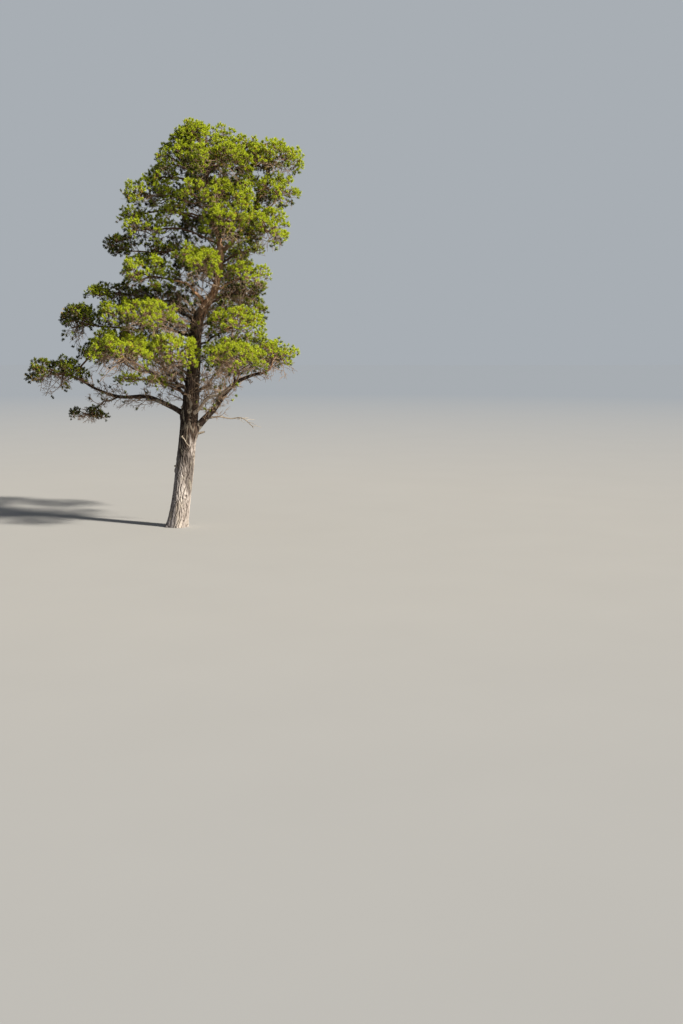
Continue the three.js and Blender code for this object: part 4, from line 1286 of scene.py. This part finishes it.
def grown_piece(name, mesh, tree, inputs):
    """Runs a tree on a mesh of points or edges, and gives the result as a plain mesh object."""
    seedling = placed(name, mesh)
    growth = seedling.modifiers.new("Growth", "NODES")
    growth.node_group = tree
    sockets = {item.name: item.identifier for item in tree.interface.items_tree if item.in_out == "INPUT"}
    for socket, value in inputs.items():
        growth[sockets[socket]] = value
    evaluated = seedling.evaluated_get(bpy.context.evaluated_depsgraph_get())
    grown = bpy.data.meshes.new_from_object(evaluated)
    seedling.modifiers.clear()
    seedling.data = grown
    grown.name = name
    bpy.data.meshes.remove(mesh)
    return seedling


def wood_piece(name, limbs, sides, material):
    """Swept mesh of limbs."""
    points, edges, radii = [], [], []
    for path, thickness in limbs:
        first = len(points)
        points.extend(tuple(point) for point in path)
        edges.extend((index, index + 1) for index in range(first, len(points) - 1))
        radii.extend(thickness)
    mesh = bpy.data.meshes.new(name)
    mesh.from_pydata(points, edges, [])
    keep_values(mesh, "thickness", radii)
    return grown_piece(name, mesh, limb_tree(), {"Sides": sides, "Material": material})


def shoot_points(name, shoots):
    """Loose points with the axis, turn and size of each shoot."""
    starts, axes, turns, sizes = zip(*shoots)
    mesh = bpy.data.meshes.new(name)
    mesh.from_pydata([tuple(start) for start in starts], [], [])
    keep_values(mesh, "axis", [tuple(axis) for axis in axes], "FLOAT_VECTOR")
    keep_values(mesh, "turn", turns)
    keep_values(mesh, "size", sizes)
    return mesh


def needle_piece(name, shoots, material, seed):
    sizes = bpy.context.scene.pine_sizes
    return grown_piece(name, shoot_points(name, shoots), needle_tree(), {
        "Needle Length": sizes.needle_length, "Needle Width": sizes.needle_width,
        "Pairs": sizes.needle_pairs, "Shoot Length": sizes.shoot_length,
        "Seed": seed, "Material": material})


def shoot_wood_piece(name, shoots, material):
    return grown_piece(name, shoot_points(name, shoots), shoot_wood_tree(), {
        "Shoot Length": bpy.context.scene.pine_sizes.shoot_length,
        "Radius": SHOOT_RADIUS, "Material": material})


# Materials

def new_material(name):
    material = bpy.data.materials.new(name)
    material.use_nodes = True
    tree = material.node_tree
    tree.nodes.clear()
    shader = tree.nodes.new("ShaderNodeBsdfPrincipled")
    output = tree.nodes.new("ShaderNodeOutputMaterial")
    tree.links.new(shader.outputs["BSDF"], output.inputs["Surface"])
    return material, tree, shader


def opaque(colour):
    return (*colour, 1.0)


def mixed(tree, share, first, second, blend="MIX"):
    """A mix of two colours, each a socket or plain values."""
    mix = node(tree, "ShaderNodeMix", {
        "Factor_Float": share, "A_Color": first, "B_Color": second}, data_type="RGBA", blend_type=blend)
    return socket_of(mix.outputs, "Result_Color")


def ranged(tree, value, low, high, to_low=0.0, to_high=1.0):
    return node(tree, "ShaderNodeMapRange", {
        "Value": value, "From Min": low, "From Max": high, "To Min": to_low, "To Max": to_high,
    }).outputs["Result"]


def noise(tree, place, size, detail, **more):
    return node(tree, "ShaderNodeTexNoise", {"Vector": place, "Scale": size, "Detail": detail, **more})


def drawn_up(tree, place, squash):
    """A place squashed along the height, so that a pattern on it is drawn out upwards."""
    return node(tree, "ShaderNodeMapping", {"Vector": place, "Scale": (1, 1, squash)})


@functools.cache
def weathered_bark():
    """Shader group shared by all bark: plates and fissures by relief, lichen, stains and grain."""
    group, given, made = new_tree("ShaderNodeTree", "Weathered bark", {
        "Plate": "Color", "Fissure": "Color", "Lichen": "Color", "Lichen Share": "Float",
        "Relief": "Float", "Place": "Vector", "Grain Size": "Float",
    }, {"Color": "Color", "Roughness": "Float", "Height": "Float"})
    long = drawn_up(group, given.outputs["Place"], 0.13)
    short = drawn_up(group, given.outputs["Place"], 0.35)
    grain = noise(group, short, given.outputs["Grain Size"], 6, Roughness=0.65)
    streaks = noise(group, long, 13, 5, Roughness=0.6, Distortion=0.4)
    stains = noise(group, short, 3, 4)
    crust = noise(group, short, 8, 6)
    bent = vector_maths(group, "MULTIPLY_ADD", stains.outputs["Color"], (0.22, 0.22, 0.22), short)
    flakes, scales = [
        node(group, "ShaderNodeTexVoronoi", {"Vector": bent, "Scale": 30, "Randomness": 1}, feature=feature)
        for feature in ("DISTANCE_TO_EDGE", "F1")]
    crack = maths(group, "MAXIMUM", ranged(group, flakes.outputs["Distance"], 0.0, 0.08),
                  ranged(group, grain, 0.44, 0.56))
    own_tone = node(group, "ShaderNodeSeparateColor", {"Color": scales.outputs["Color"]}).outputs["Red"]

    def dark(colour, mask, low, high, first, last, tint):
        """The colour darkened by a tint, from the first share of it to the last as the mask rises."""
        return mixed(group, ranged(group, mask, low, high, first, last), colour, opaque(tint), "MULTIPLY")

    colour = dark(given.outputs["Plate"], stains, 0.5, 0.6, 0.0, 0.4, (0.36, 0.32, 0.29))
    colour = dark(colour, streaks, 0.5, 0.64, 0.0, 0.7, (0.34, 0.29, 0.26))
    colour = dark(colour, grain, 0.34, 0.7, 0.55, 0.0, (0.5, 0.46, 0.42))
    crusted = maths(group, "MULTIPLY", ranged(group, crust, 0.55, 0.62), given.outputs["Lichen Share"])
    colour = mixed(group, crusted, colour, given.outputs["Lichen"])
    colour = dark(colour, own_tone, 0.1, 1.0, 0.0, 0.32, (0.6, 0.53, 0.48))
    colour = dark(colour, crack, 0.0, 1.0, 0.22, 0.0, (0.45, 0.38, 0.34))
    in_fissure = ranged(group, given.outputs["Relief"], 0.1, 0.75, 1.0, 0.0)
    colour = mixed(group, in_fissure, colour, given.outputs["Fissure"], "MULTIPLY")
    feed(group, made.inputs["Color"], colour)
    feed(group, made.inputs["Roughness"], ranged(group, grain, 0.3, 0.7, 0.98, 0.78))
    rough = maths(group, "MULTIPLY_ADD", crack, 0.4, grain)
    feed(group, made.inputs["Height"], maths(group, "ADD", rough, given.outputs["Relief"]))
    return group


# Heights, in metres, at which the trunk's colour gives way to the next. The dark middle bark is partly the
# bark's own colour and partly painted shade from the crown above
MIDDLE_BARK_HEIGHTS = (1.9, 2.6)
UPPER_BARK_HEIGHTS = (6.0, 7.2)
UNEVEN_BY = 0.7
# Painted shade on the side of the trunk away from the sun: its lean with the height, its edges, share and
# tint
PAINTED_SHADE_LEAN = -0.13
PAINTED_SHADE_EDGES = (-0.02, -0.17)
PAINTED_SHADE_SHARE = 0.85
PAINTED_SHADE_TINT = (0.3, 0.32, 0.38)
# Painted shadows on the sunny side of the trunk: middle and half width
PAINTED_SHADOWS = (((0.42, -0.16, 1.56), 0.18), ((0.25, -0.24, 2.3), 0.13))
PAINTED_SHADOW_SQUASH = 0.3
PAINTED_SHADOW_EDGE = 0.05
PAINTED_SHADOW_SHARE = 0.85
PAINTED_SHADOW_TINT = (0.2, 0.18, 0.17)


def trunk_plates(tree, place):
    """The trunk's colour by height, with painted shade on its side away from the sun and painted shadows on
    its sunny side.
    """
    colours = bpy.context.scene.pine_colours
    across, _, up = node(tree, "ShaderNodeSeparateXYZ", {"Vector": place}).outputs
    uneven = noise(tree, drawn_up(tree, place, 0.3), 6, 4)
    height = maths(tree, "ADD", up, ranged(tree, uneven, 0.3, 0.7, -UNEVEN_BY, UNEVEN_BY))
    plate = mixed(tree, ranged(tree, height, *MIDDLE_BARK_HEIGHTS), opaque(colours.bark_foot),
                  opaque(colours.bark_middle_and_crown_shade))
    plate = mixed(tree, ranged(tree, height, *UPPER_BARK_HEIGHTS), plate, opaque(colours.bark_upper))
    # Painted shade: the side of the trunk away from the sun darkened with a bluish tint
    from_middle = maths(tree, "MULTIPLY_ADD", up, PAINTED_SHADE_LEAN, across)
    painted_shade = ranged(tree, from_middle, *PAINTED_SHADE_EDGES, 0.0, PAINTED_SHADE_SHARE)
    plate = mixed(tree, painted_shade, plate, opaque(PAINTED_SHADE_TINT), "MULTIPLY")
    # Painted shadows: soft-edged dark patches on the sunny side of the trunk
    ragged = ranged(tree, uneven, 0.3, 0.7, -PAINTED_SHADOW_EDGE, PAINTED_SHADOW_EDGE)
    squash = Vector((1, 1, PAINTED_SHADOW_SQUASH))
    for middle, reach in PAINTED_SHADOWS:
        from_middle = vector_maths(tree, "MULTIPLY_ADD", place, squash, -Vector(middle) * squash)
        away = maths(tree, "ADD", vector_maths(tree, "LENGTH", from_middle), ragged)
        share = ranged(tree, away, reach - PAINTED_SHADOW_EDGE, reach + PAINTED_SHADOW_EDGE, PAINTED_SHADOW_SHARE, 0.0)
        plate = mixed(tree, share, plate, opaque(PAINTED_SHADOW_TINT), "MULTIPLY")
    return plate


def bark_material(name, plate, lichen_share, grain_size, bump):
    """Bark whose plates have one colour, or the colour that a function gives for each place."""
    colours = bpy.context.scene.pine_colours
    material, tree, shader = new_material(name)
    place = node(tree, "ShaderNodeTexCoord").outputs["Object"]
    relief = node(tree, "ShaderNodeAttribute", attribute_name="relief", attribute_type="GEOMETRY")
    bark = node(tree, "ShaderNodeGroup", node_tree=weathered_bark())
    for socket, value in {
            "Plate": plate(tree, place) if callable(plate) else opaque(plate),
            "Fissure": opaque(colours.fissure), "Lichen": opaque(colours.lichen),
            "Lichen Share": lichen_share, "Relief": relief.outputs["Fac"],
            "Place": place, "Grain Size": grain_size}.items():
        feed(tree, bark.inputs[socket], value)
    bumped = node(tree, "ShaderNodeBump", {
        "Height": bark.outputs["Height"], "Strength": 0.85, "Distance": bump})
    feed(tree, shader.inputs["Base Color"], bark.outputs["Color"])
    feed(tree, shader.inputs["Roughness"], bark.outputs["Roughness"])
    feed(tree, shader.inputs["Normal"], bumped)
    shader.inputs["Specular IOR Level"].default_value = 0.25
    return material


def speckled_material(name, colour, darker, size, roughness, specular):
    """A finish that varies by patches, for twigs and needles."""
    material, tree, shader = new_material(name)
    place = node(tree, "ShaderNodeTexCoord").outputs["Object"]
    patches = noise(tree, place, size, 3)
    fine = noise(tree, place, size * 14, 2)
    dark = opaque(part * darker for part in colour)
    patched = mixed(tree, ranged(tree, patches, 0.35, 0.65), dark, opaque(colour))
    spotted = mixed(tree, ranged(tree, fine, 0.4, 0.62, 0.35, 0.0), patched, dark)
    uneven = ranged(tree, fine, 0.35, 0.65, roughness + 0.1, roughness - 0.08)
    feed(tree, shader.inputs["Base Color"], spotted)
    feed(tree, shader.inputs["Roughness"], uneven)
    shader.inputs["Specular IOR Level"].default_value = specular
    return material


@functools.cache
def finishes():
    """Every material of the tree, by name."""
    colours = bpy.context.scene.pine_colours
    made = {"trunk": bark_material("Trunk bark", trunk_plates, 0.4, 34, 0.012)}
    for finish, name, colour, lichen_share, grain_size, bump in (
            ("bough", "Bough bark", colours.bark_bough, 0.5, 52, 0.006),
            ("pale", "Pale bark", colours.bark_pale, 0.3, 60, 0.005),
            ("orange", "Upper bark", colours.bark_upper, 0.12, 60, 0.004),
            ("dead", "Bare dead wood", colours.dead_wood, 0.2, 70, 0.004)):
        made[finish] = bark_material(name, colour, lichen_share, grain_size, bump)
    for finish, name, colour, darker, size, roughness in (
            ("stem", "Stem bark", colours.stem, 0.6, 4, 0.8),
            ("twig", "Twig bark", colours.twig, 0.55, 5, 0.8),
            ("dead_twig", "Pale dead twigs", colours.dead_wood, 0.7, 9, 0.85),
            ("bare", "Bare twig bark", colours.bare_twig, 0.5, 3, 0.85)):
        made[finish] = speckled_material(name, colour, darker, size, roughness, 0.2)
    for tint in TINTS:
        made[tint] = speckled_material(f"Needles {tint}", getattr(colours, tint), 0.72, 2.6, 0.5, 0.35)
    return made


# Operators

def seat(piece, slot, *nodes):
    """The piece rides on the tree and stands for the nodes, which are hidden. The slot is not used."""
    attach(piece, BODY)
    if nodes:
        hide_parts(*nodes)


class PINE_OT_trunk(bpy.types.Operator):
    """Make the trunk with the relief of its bark"""
    bl_idname = "pine.trunk"
    bl_label = "Trunk"

    def execute(self, context):
        seat(bark_object("trunk_bark", [trunk_tube()], finishes()["trunk"]), "bark_trunk", "trunk")
        return {"FINISHED"}


class PINE_OT_stubs(bpy.types.Operator):
    """Make the snapped stubs on the clean trunk"""
    bl_idname = "pine.stubs"
    bl_label = "Stubs"

    def execute(self, context):
        tubes = [stub_tube(order, *stub) for order, stub in enumerate(STUBS)]
        seat(bark_object("trunk_stubs", tubes, finishes()["dead"]), "dead_wood")
        return {"FINISHED"}


class PINE_OT_boughs(bpy.types.Operator):
    """Make the boughs, dark and scaly low in the crown and orange high up"""
    bl_idname = "pine.boughs"
    bl_label = "Boughs"

    def execute(self, context):
        alive = [name for name in BOUGHS if name != DEAD]
        upper = [name for name in alive if BOUGHS[name][2][2] > ORANGE_BARK_FROM]
        lower = [name for name in alive if name not in upper and name != PALE]
        groups = (
            ("bough_pale", [PALE], "pale", "bark_bough"),
            ("boughs_lower", lower, "bough", "bark_bough"),
            ("boughs_upper", upper, "orange", "bark_orange"),
            ("dead_branch", [DEAD], "dead", "dead_wood"),
        )
        for piece_name, names, finish, slot in groups:
            piece = bark_object(piece_name, [bough_tube(name) for name in names], finishes()[finish])
            seat(piece, slot, *names)
        return {"FINISHED"}


class PINE_OT_twigs(bpy.types.Operator):
    """Make the stems and twigs inside the masses, and the bare twigs under them"""
    bl_idname = "pine.twigs"
    bl_label = "Stems and twigs"

    def execute(self, context):
        crown = grown_crown()
        groups = (
            ("crown_stems", crown["stems"], 1, 6, "stem", "bark_orange"),
            ("crown_twigs", crown["twigs"], 2, 3, "twig", "bark_orange"),
            ("bare_twigs", crown["bare"], 2, 3, "bare", "dead_wood"),
            ("dead_twigs", crown["dead"], 1, 6, "dead_twig", "dead_wood"),
        )
        for name, wood, pieces, sides, finish, slot in groups:
            for index in range(pieces):
                piece = wood_piece(f"{name}_{index + 1}", wood[index::pieces], sides, finishes()[finish])
                seat(piece, slot, *MASSES)
        for tint, shoots in crown["shoots"].items():
            seat(shoot_wood_piece(f"shoots_{tint}", shoots, finishes()["twig"]), "bark_orange", *MASSES)
        return {"FINISHED"}


MOST_TRIANGLES = 190000


class PINE_OT_needles(bpy.types.Operator):
    """Grow the needles on their shoots, each tint in pieces of its own"""
    bl_idname = "pine.needles"
    bl_label = "Needles"

    def execute(self, context):
        most = MOST_TRIANGLES // (context.scene.pine_sizes.needle_pairs * 2)
        for tint, shoots in grown_crown()["shoots"].items():
            pieces = math.ceil(len(shoots) / most)
            for index in range(pieces):
                name = f"needles_{tint}_{index + 1}"
                piece = needle_piece(name, shoots[index::pieces], finishes()[tint], index)
                seat(piece, TINT_SLOTS[tint], *MASSES)
        return {"FINISHED"}


FLOOR_SIZE = 400
FLOOR_FADE = (14, 90)
FLOOR_FAR = from_screen(149, 156, 165)
BACKDROP = from_screen(168, 174, 180)
WORLD_COLOUR = (0.78, 0.86, 1.0)
WORLD_STRENGTH = 0.2
SUN_STRENGTH = 6.4
SUN_WIDTH = 4
SUN_COLOUR = (1.0, 0.95, 0.86)


def floor_material(pale):
    """Pale near the tree, and the tone of the backdrop far away."""
    material, tree, shader = new_material("Pale floor")
    place = node(tree, "ShaderNodeTexCoord").outputs["Object"]
    near = mixed(tree, noise(tree, place, 0.35, 3), opaque(pale), opaque(part * 0.95 for part in pale))
    away = vector_maths(tree, "LENGTH", place)
    faded = mixed(tree, ranged(tree, away, *FLOOR_FADE), near, opaque(FLOOR_FAR))
    feed(tree, shader.inputs["Base Color"], faded)
    shader.inputs["Roughness"].default_value = 0.9
    shader.inputs["Specular IOR Level"].default_value = 0.1
    return material


def studio_world():
    """Soft light from all round, seen by the camera as a plain backdrop."""
    world = bpy.data.worlds.new("soft light")
    world.use_nodes = True
    tree = world.node_tree
    light = tree.nodes["Background"]
    light.inputs["Color"].default_value = opaque(WORLD_COLOUR)
    light.inputs["Strength"].default_value = WORLD_STRENGTH
    backdrop = node(tree, "ShaderNodeBackground", {"Color": opaque(BACKDROP)})
    seen = node(tree, "ShaderNodeLightPath").outputs["Is Camera Ray"]
    both = node(tree, "ShaderNodeMixShader", {
        "Fac": seen, "Shader": light.outputs["Background"], "Shader_001": backdrop.outputs["Background"]})
    tree.links.new(both.outputs["Shader"], tree.nodes["World Output"].inputs["Surface"])
    return world


class PINE_OT_stage(bpy.types.Operator):
    """Lay the floor, and set the light and the camera"""
    bl_idname = "pine.stage"
    bl_label = "Stage"

    def execute(self, context):
        scene = context.scene
        reach = FLOOR_SIZE / 2
        mesh = bpy.data.meshes.new("floor")
        mesh.from_pydata([(-reach, -reach, 0), (reach, -reach, 0), (reach, reach, 0), (-reach, reach, 0)],
                         [], [(0, 1, 2, 3)])
        mesh.materials.append(floor_material(scene.pine_colours.floor))
        floor = placed("floor", mesh)
        sun = placed("sun", bpy.data.lights.new("sun", "SUN"))
        sun.data.energy = SUN_STRENGTH
        sun.data.angle = math.radians(SUN_WIDTH)
        sun.data.color = SUN_COLOUR
        sun.rotation_mode = "QUATERNION"
        sun.rotation_quaternion = TO_SUN.to_track_quat("Z", "Y")
        scene.world = studio_world()
        camera = placed("camera", bpy.data.cameras.new("camera"))
        camera.data.lens = LENS
        camera.data.sensor_fit = "VERTICAL"
        camera.data.sensor_height = SENSOR
        camera.data.sensor_width = SENSOR
        camera.data.clip_end = 1000
        camera.location = EYE
        camera.rotation_euler = (math.radians(90 - LOOK_DOWN), 0, 0)
        scene.camera = camera
        scene.view_settings.view_transform = "Standard"
        return {"FINISHED"}


class PINE_PT_panel(bpy.types.Panel):
    """Lists the steps, sizes and colours of the pine"""
    bl_idname = "PINE_PT_panel"
    bl_label = "Scots Pine"
    bl_space_type = "VIEW_3D"
    bl_region_type = "UI"
    bl_category = "Pine"

    def draw(self, context):
        layout = self.layout
        for operator in OPERATORS:
            layout.operator(operator.bl_idname)
        for group in (context.scene.pine_sizes, context.scene.pine_colours):
            box = layout.box()
            for name in group.__annotations__:
                box.prop(group, name)


OPERATORS = (PINE_OT_trunk, PINE_OT_stubs, PINE_OT_boughs, PINE_OT_twigs, PINE_OT_needles, PINE_OT_stage)
CLASSES = (PineSizes, PineColours, *OPERATORS, PINE_PT_panel)


def register():
    for item in CLASSES:
        bpy.utils.register_class(item)
    bpy.types.Scene.pine_sizes = bpy.props.PointerProperty(type=PineSizes)
    bpy.types.Scene.pine_colours = bpy.props.PointerProperty(type=PineColours)


def unregister():
    del bpy.types.Scene.pine_colours
    del bpy.types.Scene.pine_sizes
    for item in reversed(CLASSES):
        bpy.utils.unregister_class(item)


def main():
    register()
    bpy.ops.pine.trunk()
    bpy.ops.pine.stubs()
    bpy.ops.pine.boughs()
    bpy.ops.pine.twigs()
    bpy.ops.pine.needles()
    bpy.ops.pine.stage()


if __name__ == "__main__":
    main()
